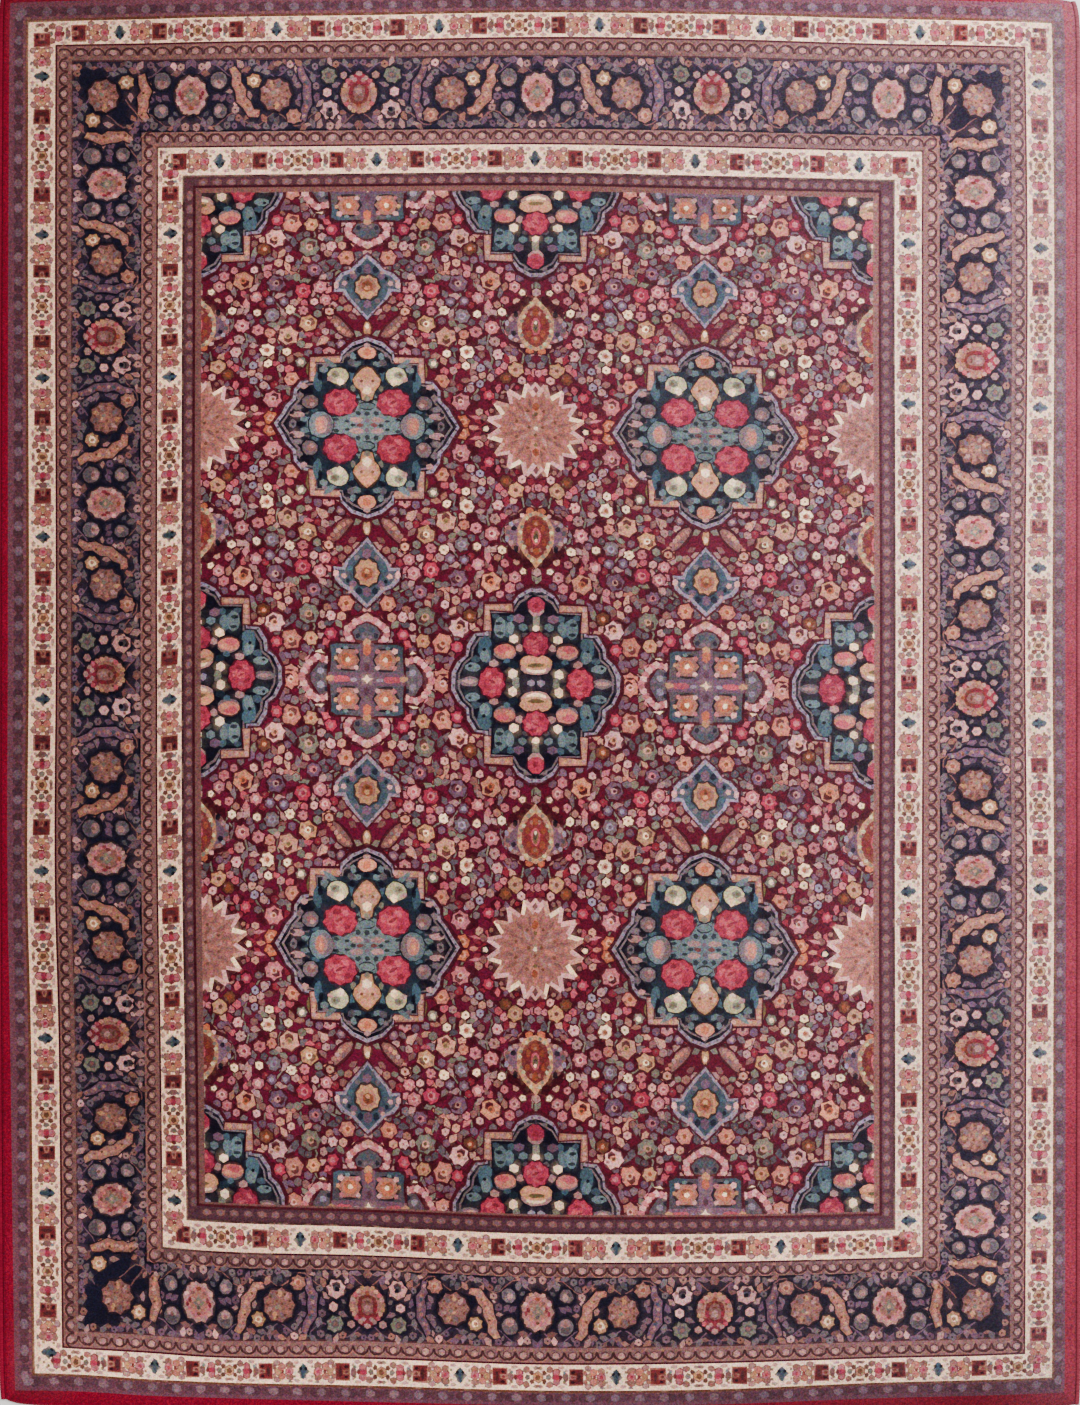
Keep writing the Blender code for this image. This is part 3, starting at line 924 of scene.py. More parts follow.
def big_figures():
    """What the large figures cover of a quarter, as rows of x, y and radius."""
    w, h = QUARTER_WIDTH, QUARTER_HEIGHT
    covered = [(0, 0, 72), (64, 0, 26), (0, 66, 26), (42, 54, 22), (w, 0, 46), (0, h, 36), (44, h, 18)]
    covered += [(0, 206, 18), (w, h, 62), (w, 194, 22), (133, 192, 14), (122, 198, 6), (98, h, 14)]
    covered += [(0, 151, 22), (20, 151, 8), (w, 112, 24), (0, 110, 10), (28, 112, 10), (0, 190, 6)]
    return covered


def quarter_flowers():
    """The small parts of a quarter, worked out once so that all quarters are the same."""
    rng = random.Random(QUARTER_SEED)
    taken = big_figures() + [(x, y, r) for x, y, r, *_ in FLOWERS]
    box = (1, QUARTER_WIDTH, 1, QUARTER_HEIGHT)
    fillers = free_places(rng, taken, FIELD_FILLERS, box, gap=-1.2, sizes=(3.0, 4.6))
    fillers += free_places(rng, taken, FIELD_FILLERS - len(fillers), box, gap=-0.9, sizes=(1.9, 2.8))
    pockets = free_places(rng, big_figures(), POCKETS, box, gap=-2.0, sizes=(5.0, 9.0))
    fillers = [(x, y, r, rng.choice(FILLER_DYES), rng.uniform(0, 360)) for x, y, r in fillers]
    return pockets, fillers


def draw_leaf(pen, x, y, long, wide, turn, bend, dye):
    """A leaf with a dark edge and two veins."""
    pen.leaf("maroon", x, y, long * 1.1, wide + 2.8, turn, bend)
    pen.leaf(dye, x, y, long, 1.05 * wide, turn, bend)
    c, s = polar(1, math.radians(turn))
    for share in (0.32, 0.62):
        lean = bend * share * share
        pen.disc("rose brown", x + share * long * c - lean * s, y + share * long * s + lean * c, 0.20 * wide)


def draw_filler(pen, x, y, r, dye, turn):
    """A dotted disc, or where it is small a leaf."""
    c, s = polar(1, math.radians(turn))
    if r > LEAST_DISC:
        pen.disc("maroon", x, y, r + 1.1)
        pen.disc(dye, x, y, 1.02 * r)
        pen.disc("rose brown", x + 0.3 * r * c, y + 0.3 * r * s, 0.32 * r)
        return
    if r > LEAST_EDGED:
        pen.disc("maroon", x, y, r + 1.1, sides=5)
    pen.leaf(dye, x - 1.6 * r * c, y - 1.6 * r * s, 3.2 * r, 2.1 * r, turn, 1.0)


def draw_quarter(pen, pockets, fillers):
    for x, y, r in pockets:
        pen.disc("maroon", x, y, 1.1 * r, sides=6)
    for stem in STEMS:
        pen.ribbon("maroon", stem, 4.2)
        pen.ribbon("grey green", stem, 1.8)
    for leaf in LEAVES:
        draw_leaf(pen, *leaf)
    for filler in fillers:
        draw_filler(pen, *filler)
    for blossom in FLOWERS:
        flower(pen, *blossom)


def woven_row(x, y):
    beyond = QUARTER_HEIGHT
    even = (LATTICE_Y[0] - beyond, *LATTICE_Y, LATTICE_Y[-1] + beyond)
    woven = (LATTICE_Y_WOVEN[0] - beyond, *LATTICE_Y_WOVEN, LATTICE_Y_WOVEN[-1] + beyond)
    return x, float(np.interp(y, even, woven))


def paint_field_ground(chart, slack=6):
    left, right, top, bottom = BAND_EDGES["field"]
    rows = {"top": (top - slack, FIELD_MIDDLE_Y), "bottom": (FIELD_MIDDLE_Y, bottom + slack)}
    columns = {"left": (left - slack, FIELD_MIDDLE_X), "right": (FIELD_MIDDLE_X, right + slack)}
    for row, (y0, y1) in rows.items():
        for column, (x0, x1) in columns.items():
            ground = [(x0, y0), (x1, y0), (x1, y1), (x0, y1)]
            chart.patch("madder", ground, "field_%s_%s" % (row, column))


def draw_field(chart, reach=14):
    """The ground, the small flowers and the large figures. The borders cover what reaches past the field."""
    paint_field_ground(chart)
    left, right, top, bottom = BAND_EDGES["field"]
    chart.settle = woven_row
    chart.inside = lambda x, y: left - reach < x < right + reach and top - reach < y < bottom + reach
    sheet = Pen(chart, np.eye(3))
    rose_columns, star_columns = LATTICE_X[1::2], LATTICE_X[::2]
    rose_rows, cross_rows = LATTICE_Y[1::2], LATTICE_Y[::2]
    small_parts = quarter_flowers()
    for x in rose_columns:
        for y in rose_rows:
            for quarter in sheet.at(x, y).quarters():
                draw_quarter(quarter, *small_parts)
    for x in rose_columns:
        for y in rose_rows:
            for sign in (1, -1):
                below = sheet.at(x, y + DIAMOND_Y * sign, down=sign)
                diamond_leaves(below)
                diamond_cartouche(below)
            rose_medallion(sheet.at(x, y))
        for y in cross_rows:
            ring_cross(sheet.at(x, y))
    for x in star_columns:
        for y in rose_rows:
            petal_star(sheet.at(x, y))
            for sign in (1, -1):
                oval_cartouche(sheet.at(x, y + OVAL_Y * sign, down=sign))
        for y in cross_rows:
            cross_rose_medallion(sheet.at(x, y))
    chart.settle = chart.inside = None


# ---------------------------------------------------------------- the border bands
SIDES = ("top", "bottom", "left", "right")
LYING_SIDES = ("top", "bottom")


def band_between(outer, inner):
    """The four mitred strips between two bands' outer edges, as outlines by side."""
    left, right, top, bottom = outer
    in_left, in_right, in_top, in_bottom = inner
    corners = {"tl": (left, top), "tr": (right, top), "br": (right, bottom), "bl": (left, bottom)}
    inside = {"tl": (in_left, in_top), "tr": (in_right, in_top), "br": (in_right, in_bottom),
              "bl": (in_left, in_bottom)}
    ends = {"top": ("tl", "tr"), "right": ("tr", "br"), "bottom": ("br", "bl"), "left": ("bl", "tl")}
    return {side: (corners[a], corners[b], inside[b], inside[a]) for side, (a, b) in ends.items()}


def with_steps(outline, step=16.0):
    """The same outline with more points along its long edges, closer together towards the corners."""
    points = []
    for a, b in pairs_around(outline):
        count = max(1, round(math.dist(a, b) / step))
        for i in range(count):
            share = (1 - math.cos(math.pi * i / count)) / 2
            points.append((a[0] + (b[0] - a[0]) * share, a[1] + (b[1] - a[1]) * share))
    return points


def shrunk(edges, by):
    left, right, top, bottom = edges
    return left + by, right - by, top + by, bottom - by


def paint_ring(chart, dye, outer, inner, zoned=False):
    for side, outline in band_between(outer, inner).items():
        chart.patch(dye, with_steps(list(outline)), "border_" + side if zoned else None)


def inside_outline(outline):
    """A test whether a point is inside the outline."""
    def test(x, y):
        crossed = False
        for (x0, y0), (x1, y1) in pairs_around(outline):
            if (y0 > y) != (y1 > y) and x < (x1 - x0) * (y - y0) / (y1 - y0) + x0:
                crossed = not crossed
        return crossed
    return test


def side_pen(chart, side, outer, inner, place):
    """A pen on the middle line of a band, at a place along its side. Its x runs along the side, to the right
    or down the carpet, and its y runs towards the field."""
    left, right, top, bottom = [(a + b) / 2 for a, b in zip(outer, inner)]
    turned = {
        "top": [[1, 0, place], [0, 1, top]],
        "bottom": [[1, 0, place], [0, -1, bottom]],
        "left": [[0, 1, left], [1, 0, place]],
        "right": [[0, -1, right], [1, 0, place]],
    }[side]
    return Pen(chart, np.array(turned + [[0, 0, 1]], float))


def band_sides(chart, name):
    """The four sides of a band in turn: each one's name, its start and end, and a function that gives a pen
    at a place along it. What is drawn before the next side stays inside this one."""
    outer = BAND_EDGES[name]
    inner = BAND_EDGES[BAND_ORDER[BAND_ORDER.index(name) + 1]]
    strips = band_between(outer, inner)
    for side in SIDES:
        chart.inside = inside_outline(list(strips[side]))
        low, high = outer[:2] if side in LYING_SIDES else outer[2:]
        yield side, low, high, lambda place, side=side: side_pen(chart, side, outer, inner, place)
    chart.inside = None


# Where the main border's figures lie along each side, from one corner rosette to the next
MAIN_PLACES = {
    "top": (102, 190, 275, 358, 450, 537, 627, 712, 801, 889, 978),
    "bottom": (110, 193, 275, 365, 452, 537, 623, 715, 806, 889, 977),
    "left": (93, 180, 257, 335, 417, 503, 584, 674, 766, 857, 946, 1039, 1130, 1216, 1303),
    "right": (95, 183, 268, 351, 440, 523, 607, 692, 780, 868, 959, 1050, 1141, 1227, 1307),
}
MAIN_PITCH = 88.0
# Where the ivory guards' blue flowers lie
IVORY_PLACES = {
    ("ivory outer", "top"): (118, 275, 438, 599, 761, 920),
    ("ivory outer", "bottom"): (147, 299, 459, 616, 782, 938),
    ("ivory outer", "left"): (71, 231, 377, 537, 699, 870, 1044, 1210, 1370),
    ("ivory outer", "right"): (74, 238, 398, 560, 718, 887, 1056, 1226),
    ("ivory inner", "top"): (219, 376, 535, 696, 860),
    ("ivory inner", "bottom"): (297, 457, 616, 781),
    ("ivory inner", "left"): (231, 377, 537, 702, 872, 1049, 1215),
    ("ivory inner", "right"): (235, 394, 556, 716, 887, 1058, 1225),
}
IVORY_PITCH = 160.0
WAVE_PITCH = 16.4
UPRIGHT_WAVE_PITCH = WAVE_PITCH * 0.9
BORDER_SEED = 11


def pink_palmette(pen):
    pen.petals("ink", 0, 0, 19.0, 11, 0.95, 1.22)
    pen.petals("dusty pink", 0, 0, 16.8, 11, 0.88, 1.22)
    pen.petals("pink", 0, 0, 13.6, 9, 0.88, 1.22, 20)
    pen.petals("dull salmon", 0, 1, 11.4, 8, 0.82, 1.15)
    pen.petals("grey green", 0, 0, 6.0, 4, 0.6, 1.3)
    pen.spots((("brown", 0, -11, 2.4, 2.0), ("pale salmon", 0, -16, 3.6, 2.4), ("rust", 0, 13, 3.0, 2.4),
               ("pale salmon", 0, 0, 2, 2), ("smoke", 0, -5, 2.2, 2)))
    for side in pen.mirrored():
        side.spots((
            ("pale salmon", 11, -10, 2.6, 2.4), ("pale pink", 12, 8, 2.6, 2.4), ("brick", 9, 2, 2, 3),
            ("salmon", 6, -8, 2, 2), ("pale salmon", 6, 17, 2.4, 2.2), ("deep rose", 11.5, -2, 1.8, 3),
            ("rose brown", 6, 9, 2.2, 2.2), ("dusty pink", 6, 3, 2, 2),
        ))


def red_palmette(pen):
    pen.patch("ink", two_sided([
        (0, -25), (8, -22), (14, -15), (19, -9), (21, 0), (19, 10), (12, 18), (0, 22.5),
    ]))
    pen.patch("deep rose", two_sided([(0, -22), (6, -19.5), (11.5, -14), (15.6, -8), (16, 2), (0, 6)]))
    pen.patch("dull salmon", two_sided([(0, -10), (16, -6), (18, 0), (16, 9), (9, 16), (0, 19.5)]))
    pen.patch("brick", two_sided([(0, -11), (8, -9), (10.4, 0), (8, 8), (0, 11.5)]))
    pen.patch("rose brown", two_sided([(0, -10), (5.4, -7), (6, 0), (4.6, 6), (0, 8)]))
    for side in pen.mirrored():
        beads(side, ("dusty pink", "light rose", "pale salmon", "tan", "dull salmon"),
              [(5, -18), (12, -12), (16.6, -1), (14, 8), (7, 16), (1, 18.5)], 5.1, 2.7)
        beads(side, ("rose brown", "brown"), [(13, -1), (11, 8), (4, 14)], 5.4, 1.5)
        side.spots((
            ("deep rose", 8, -3, 2.0, 4.0), ("dusty pink", 4, -14, 2.6, 2.4), ("brown", 4.6, 8, 1.9, 1.9),
        ))
    pen.spots((("dusty pink", 0, -3, 3.6, 3.8), ("rust", 0, 12, 2.8, 2.2), ("dusty pink", 0, -20.6, 3.6, 2.8),
               ("brown", 0, 3.4, 3.4, 1.3), ("deep rose", 0, -12, 2.2, 2.0)))


ROSETTE_PETALS = 9


def border_rosette(pen):
    pen.petals("ink", 0, 0, 18.4, ROSETTE_PETALS, 0.94, 1.05)
    pen.petals("rose brown", 0, 0, 16.4, ROSETTE_PETALS, 0.86, 1.05)
    dyes = ("dull salmon", "dusty pink", "tan", "grey mauve")
    for i in range(ROSETTE_PETALS):
        angle = math.tau * i / ROSETTE_PETALS
        turn = math.degrees(angle) + 14
        pen.leaf(dyes[i % 4], 7.6 * math.cos(angle), 7.8 * math.sin(angle), 7.6, 5.4, turn, 1.0)
        pen.disc("brown", 11.6 * math.cos(angle + 0.35), 11.8 * math.sin(angle + 0.35), 1.7)
    pen.petals("dull salmon", 0, 0, 7.8, 6, 0.74)
    pen.spots((("brown", 3, 1, 1.8, 1.8), ("grey green", -2, -2, 2.6, 2.4), ("brown", -2.6, 3.4, 1.6, 1.6),
               ("pale salmon", 1, -4, 1.8, 1.6)))


COMMA_EDGE = 1.7             # width of its dark edge
RAGGED = (-0.9, 1.5)         # how far its sides go in and out at every second point


def comma(pen, points, wide, dyes):
    """A thick curved leaf along the points with a dark edge, tapered at both ends and flecked with dyes."""
    def outline(extra):
        def half_width(i, sign):
            share = i / (len(points) - 1)
            swell = 0.35 + 0.65 * math.sin(math.pi * (0.12 + 0.76 * share))
            return extra + wide / 2 * swell + RAGGED[(i + (sign > 0)) % 2]
        return strip_outline(points, half_width)
    pen.patch("ink", outline(COMMA_EDGE))
    pen.patch(dyes[0], outline(0))
    beads(pen, dyes[1:], points, 4.9, 0.25 * wide)
    beads(pen, (dyes[0], "rose brown", "brown"), [(x + 1.8, y + 0.6) for x, y in points], 7.4, 1.7)


def run_from_pink(pen, fillers, by_corner):
    """What lies between a pink palmette, at the pen, and the rosette 88 units along."""
    draw_fillers(pen, fillers)
    pen.spots((
        ("ink", 29, -14, 10.4, 11.0), ("grey mauve", 29, -15, 8.4, 9.0), ("smoke", 29, -18, 6.0, 4.4),
        ("dusty pink", 29, -11, 5.6, 4.4), ("rose brown", 29, -13, 2.4, 2.4), ("ink", 30, 16, 9.2, 9.4),
        ("grey mauve", 30, 16, 7.2, 7.4), ("dusty pink", 28.6, 15, 3.6, 4), ("smoke", 33, 18, 3, 3),
    ))
    line = [(43, -28), (46, -20), (48, -12), (50, -4), (53, 4), (57, 11), (63, 17), (70, 20)]
    if by_corner:
        line = [(51, -21), (47, -13), (46, -5), (47, 3), (49, 10), (48, 17), (46, 24)]
    comma(pen, line, 10.4, ("dull salmon", "tan", "dusty pink", "pale salmon", "salmon"))
    flower(pen, 65, -14, 7.2, "tan", "cream", "rust", "ink")


def run_from_red(pen, fillers):
    """What lies between a red palmette, at the pen, and the rosette 88 units along."""
    draw_fillers(pen, fillers)
    flower(pen, 32, -19, 8.2, "grey green", "smoke", "rose brown", "ink")
    flower(pen, 31, 16, 9.2, "pale pink", "smoke", "ink", "ink")
    pen.spots((("ink", 34, -2, 6.2, 6.2), ("pale pink", 34, -2, 4.6, 4.8), ("dusty pink", 34, -1, 2, 2),
               ("ink", 16, -19, 5.6, 5.4), ("dusty pink", 16, -19, 4.0, 3.9), ("ink", 30, 15, 2.6, 2.4)))
    comma(pen, [(64, -27), (59, -19), (56, -10), (54, 0), (55, 9), (57, 17), (60, 26)], 8.6,
          ("mauve", "dull salmon", "rose brown", "dusty pink", "slate"))
    flower(pen, 69, 22, 7.6, "dull salmon", "pale salmon", "rust", "ink")


RUN_BOX = (2, 87, -33, 33)   # where the fillers of a run may lie
RUN_FILLERS, RUN_FLECKS = 36, 10
RUN_DYES = ("grey mauve", "dusty pink", "rose brown", "pale dusk", "dusty pink", "grey mauve", "mauve",
            "mauve", "pale pink", "smoke", "dull salmon", "pale dusk")
LEAST_EYED = 3.5             # from which radius a filler of a run is a dot with an eye
# What the figures cover of a run, as rows of x, y and radius
RUN_ENDS = ((0, 0, 22), (0, 14, 13), (0, -14, 13), (88, 0, 20))
BY_PINK = ((29, -14, 12), (46, -22, 6), (50, -4, 7), (58, 13, 7), (68, 20, 6), (65, -14, 10), (30, 16, 10))
BY_RED = ((34, -19, 10), (31, 17, 10), (33, -1, 7), (17, -21, 6), (59, -20, 6), (55, -5, 6), (55, 9, 6),
          (59, 22, 6), (69, 22, 10))


def run_fillers(rng, covered):
    taken = [*RUN_ENDS, *covered]
    places = free_places(rng, taken, RUN_FILLERS, RUN_BOX, gap=0.2, sizes=(2.8, 4.2))
    places += free_places(rng, taken, RUN_FLECKS, RUN_BOX, gap=0.2, sizes=(1.9, 2.6))
    return [(x, y, r, rng.choice(RUN_DYES), rng.uniform(0, 360)) for x, y, r in places]


def draw_fillers(pen, fillers):
    """The small leaves and dots between the border's figures, and the vine they hang on."""
    for start, dye in ((-1, "mauve"), (1, "rose brown")):
        vine = [(x, start * (25 - 7 * math.cos(math.tau * x / 44))) for x in range(2, 88, 6)]
        pen.ribbon(dye, vine, 1.3)
    for x, y, r, dye, turn in fillers:
        if r > LEAST_EYED:
            pen.disc(dye, x, y, r)
            pen.disc("ink", x, y, 0.34 * r)
        else:
            c, s = polar(1, math.radians(turn))
            pen.leaf(dye, x - 1.6 * r * c, y - 1.6 * r * s, 3.2 * r, 2.1 * r, turn, 1.2)


def draw_runs(pen_at, places, by_pink, by_red):
    """What lies between the palmettes, every second place, and the rosettes on both sides of each."""
    for i in range(1, len(places) - 1, 2):
        for neighbour in (places[i - 1], places[i + 1]):
            run = pen_at(places[i]).at(0, 0, across=(neighbour - places[i]) / MAIN_PITCH)
            if i % 4 == 1:
                run_from_pink(run, by_pink, neighbour in (places[0], places[-1]))
            else:
                run_from_red(run, by_red)
    for place, onward in ((places[0], -1), (places[-1], 1)):
        draw_fillers(pen_at(place).at(0, 0, across=onward), by_red)


def draw_main_figures(chart, side, pen_at, places):
    """The rosettes and palmettes in turn. The corner rosettes are drawn once, with the lying sides."""
    in_strip = chart.inside
    for i, place in enumerate(places):
        at_corner = i in (0, len(places) - 1)
        if i % 4 == 1:
            pink_palmette(pen_at(place))
        elif i % 4 == 3:
            red_palmette(pen_at(place))
        elif side in LYING_SIDES or not at_corner:
            chart.inside = None if at_corner else in_strip
            border_rosette(pen_at(place))
            chart.inside = in_strip


def draw_main_border(chart):
    rng = random.Random(BORDER_SEED)
    by_pink, by_red = run_fillers(rng, BY_PINK), run_fillers(rng, BY_RED)
    for side, _, _, pen_at in band_sides(chart, "main"):
        draw_runs(pen_at, MAIN_PLACES[side], by_pink, by_red)
        draw_main_figures(chart, side, pen_at, MAIN_PLACES[side])


def paired(dye, x, y, r, tall):
    """The rows of two spots, one on each side of a band's middle line."""
    return (dye, x, -y, r, tall), (dye, x, y, r, tall)


IVORY_SPOTS = (
    # dye, place along, place across, half length, half width
    *paired("dusty pink", 7, 9.6, 3.4, 2.2), *paired("olive", 9.4, 5, 1.8, 1.8),
    *paired("dull salmon", 15, 6, 3.8, 3.4), ("pink", 15, 0, 4.6, 4.0), ("rose", 15, 0, 2, 2.2),
    ("grey mauve", 14, -10.8, 3, 1.4), *paired("salmon", 23, 4.8, 4.0, 3.8), ("tan", 27.6, 0, 3.4, 3.8),
    ("brick", 22, 0, 2.0, 2.2), *paired("dusty pink", 28.6, 9, 3.4, 2.6),
    *paired("dull salmon", 31.6, 4.6, 2.0, 2.4), ("rose brown", 51.6, 0, 2.6, 4.4), ("olive", 53, -5, 1.8, 2),
    ("grey teal", 53, 5, 1.8, 2), *paired("dusty pink", 56, 9.8, 4.0, 2.0),
    *paired("pink", 61, 4.8, 3.8, 3.6), ("rose", 61.5, 0, 3.8, 3.0), ("brick", 57.0, 0, 1.8, 2.4),
    *paired("dull salmon", 68, 7.6, 3.2, 3.0), ("grey green", 69.4, 0, 2.4, 2.8),
    *paired("brown", 73.6, 4.4, 2.0, 2.4), *paired("rose brown", 78, 9.4, 3.4, 2.0),
    ("tan", 80, 0, 5.2, 5.4), ("brown", 80, 0, 3.0, 3.4),
)
LEAST_OUTLINED = 2.3         # above this half width a spot has a dark edge
SPOT_EDGE = 0.8              # width of that edge


def ivory_half(pen):
    """Half a repeat of an ivory guard, from its blue flower, at the pen, to the tan flower 80 units along."""
    for dye, x, y, r, tall in IVORY_SPOTS:
        if tall > LEAST_OUTLINED:
            pen.disc("rose brown" if dye != "pink" else "brick", x, y, r + SPOT_EDGE, tall + SPOT_EDGE)
    pen.spots(IVORY_SPOTS)
    pen.patch("slate", [(-1, -8), (3, -6), (3.4, -3), (7, 0), (3.4, 3), (3, 6), (-1, 8)])
    pen.disc("ink", 3, 3, 2.0)
    pen.patch("dull salmon", [(33, -8.8), (48.6, -8.8), (48.6, 8.8), (33, 8.8)])
    pen.patch("brick", [
        (34, -7.6), (47.4, -7.6), (47.4, -2.6), (41, -2.0), (41, 2.0), (47.4, 2.6), (47.4, 7.6), (34, 7.6),
    ])
    pen.spots((("wave line", 38, 0, 2.0, 5.6), ("brick", 44.6, 0, 2.2, 1.6), *paired("ink", 44, 5, 2.2, 1.6),
               *paired("dusty pink", 51, 6.8, 1.8, 1.8)))


def draw_ivory_guard(chart, name):
    """Half repeats on both sides of each blue flower. Past the first and last they go on into the corner."""
    for side, _, _, pen_at in band_sides(chart, name):
        flowers = IVORY_PLACES[name, side]
        around = (flowers[0] - IVORY_PITCH, *flowers, flowers[-1] + IVORY_PITCH)
        for before, place, after in zip(around, flowers, around[2:]):
            for neighbour in (before, after):
                pen, stretch = pen_at(place), (neighbour - place) / IVORY_PITCH
                ivory_half(pen.at(0, 0, across=stretch))
                if neighbour in (around[0], around[-1]):
                    ivory_half(pen.at(neighbour - place, 0, across=-stretch))


ARCH_MIDDLE, ARCH_RISE = 3.2, 8.6        # the middle of an arch's round, inwards, and its radius
ARCH_ANGLES = (-1.4, -0.9, -0.35, 0.35, 0.9, 1.4)


def draw_wave_guard(chart, name):
    """An arcade of dark arches, a pink dot under each."""
    for side, low, high, pen_at in band_sides(chart, name):
        count = int((high - low) / (WAVE_PITCH if side in LYING_SIDES else UPRIGHT_WAVE_PITCH))
        half = (high - low) / count / 2
        arch = [(half * math.sin(a), ARCH_MIDDLE - ARCH_RISE * math.cos(a)) for a in ARCH_ANGLES]
        for i in range(count):
            pen = pen_at(low + (i + 0.5) * (high - low) / count)
            pen.ribbon("dull salmon", [(x, y - 1.8) for x, y in arch], 1.0)
            pen.ribbon("wave line", arch, 2.2)
            pen.spots((
                ("wave line", 0, -0.4, 4.8, 4.4), ("dusty pink", 0, -0.6, 3.8, 3.5),
                ("pale salmon", 0.4, -1.0, 1.7, 1.6), ("dull salmon", half, 4.8, 2.0, 1.6),
                ("wave line", half, 1.4, 1.8, 2.2),
            ))


DOT_FLATNESS = 0.72
BAND_DOTS = (
    # band, dye, pitch, radius, how far inwards from the middle line
    ("dusk guard", "plum", 12.4, 6.6, 0.0),
    ("dusk guard", "pale dusk", 24.8, 5.4, 0.0),
    ("dusk guard", "rose brown", 12.4, 2.2, 5.5),
    ("thin guard", "rose brown", 14.0, 5.0, 0.8),
    ("thin guard", "pale dusk", 14.0, 2.6, 0.8),
)


def draw_dots(chart, name, dye, pitch, r, inwards):
    """A row of flat dots along a band."""
    for _, low, high, pen_at in band_sides(chart, name):
        for i in range(int((high - low) / pitch) + 1):
            pen_at(low + (i + 0.5) * pitch).disc(dye, 0, inwards, r, r * DOT_FLATNESS)


BAND_DYES = {
    "edge": "crimson", "dusk guard": "dusk", "ivory outer": "ivory", "wave outer": "wave ground",
    "main": "navy", "wave inner": "wave ground", "ivory inner": "ivory", "thin guard": "plum",
    "pink line": "rose brown",
}
BAND_LINES = (
    # band whose outer edge has the line, dye, from and to, inwards from that edge
    ("ivory outer", "brown", -2.6, 0.0),
    ("wave outer", "maroon", -0.6, 1.4),
    ("main", "wave line", -1.8, 0.0),
    ("wave inner", "ink", -0.8, 1.2),
    ("ivory inner", "maroon", -1.8, 0.0),
    ("thin guard", "wave line", 0.0, 2.6),
    ("pink line", "maroon", -2.6, 0.0),
)


def draw_borders(chart):
    for name, following in zip(BAND_ORDER, BAND_ORDER[1:]):
        paint_ring(chart, BAND_DYES[name], BAND_EDGES[name], BAND_EDGES[following], zoned=True)
    rim = BAND_EDGES["edge"]
    for inset in RIM_STEPS:
        paint_ring(chart, BAND_DYES["edge"], shrunk(rim, inset), BAND_EDGES["dusk guard"])
    for row in BAND_DOTS:
        draw_dots(chart, *row)
    for name, dye, start, end in BAND_LINES:
        paint_ring(chart, dye, shrunk(BAND_EDGES[name], start), shrunk(BAND_EDGES[name], end))
    for name in ("wave outer", "wave inner"):
        draw_wave_guard(chart, name)
    for name in ("ivory outer", "ivory inner"):
        draw_ivory_guard(chart, name)
    draw_main_border(chart)


# ---------------------------------------------------------------- the pile's surface
RIM_STEPS = (0.5, 1.1, 1.8)  # where the pile's edge bends as it is rounded, in chart units from the rim
RIM_REACH = 2.2              # and how far the rounding goes
RIM_DROP = 0.0048            # how far the pile's edge lies below its face, in metres
PILE_FACE = 0.0104           # height of the pile's face
RIPPLE = 0.0006              # how far its slow waves lift and lower it
RIPPLE_WAVES = (
    # radians per metre across and along, radians at the middle of the carpet, strength
    (3.1, 1.3, 0.4, 1.0),
    (1.7, -4.3, 1.9, 1.0),
    (2.3, 7.9, 0.0, 0.5),
)
INSIDE_TRIANGLES = 1         # the kind of result that is asked of the triangulation
SAME_CORNER = 1e-5           # and the distance at which two corners are one


def pile_height(x, y, across, along):
    """Height of the pile at chart points x, y that lie at across, along on the floor."""
    edge = np.minimum.reduce([x - CHART_LEFT, CHART_RIGHT - x, y - CHART_TOP, CHART_BOTTOM - y])
    rounded = np.clip(1 - edge / RIM_REACH, 0, 1) ** 2
    ripple = sum(
        strength * np.sin(by_across * across + by_along * along + start)
        for by_across, by_along, start, strength in RIPPLE_WAVES
    ) / sum(wave[-1] for wave in RIPPLE_WAVES)
    return PILE_FACE + RIPPLE * ripple - RIM_DROP * rounded


def triangulate(chart):
    """The points, the triangles, and for each triangle the patch on top of it and the zone of its piece."""
    corners, faces = [], []
    for outline in chart.outlines:
        faces.append(list(range(len(corners), len(corners) + len(outline))))
        corners += [Vector(point) for point in outline]
    points, _, triangles, _, _, held = delaunay_2d_cdt(corners, [], faces, INSIDE_TRIANGLES, SAME_CORNER)
    zones = []
    for inputs in held:
        zoned = [i for i in inputs if chart.zones[i] is not None]
        zones.append(chart.zones[max(zoned)] if zoned else None)
    points = np.array([(p[0], p[1]) for p in points])
    on_top = np.array([max(inputs) for inputs in held])
    return points, np.array(triangles), on_top, np.array(zones, dtype=object)


def dye_colours(chart):
    """One linear colour for each patch, a little off its dye's own."""
    rng = random.Random(DYE_SEED)
    colours = []
    for dye in chart.dyes:
        light = 1 + rng.uniform(-DYE_SPREAD, DYE_SPREAD)
        warm = 1 + rng.uniform(-WARM_SPREAD, WARM_SPREAD) * DYE_SPREAD
        red, green, blue = DYES[dye]
        colours.append((red * light * warm, green * light, blue * light / warm))
    return np.array(colours)


def add_object(mesh, material):
    mesh.materials.append(material)
    obj = bpy.data.objects.new(mesh.name, mesh)
    bpy.context.scene.collection.objects.link(obj)
    return obj


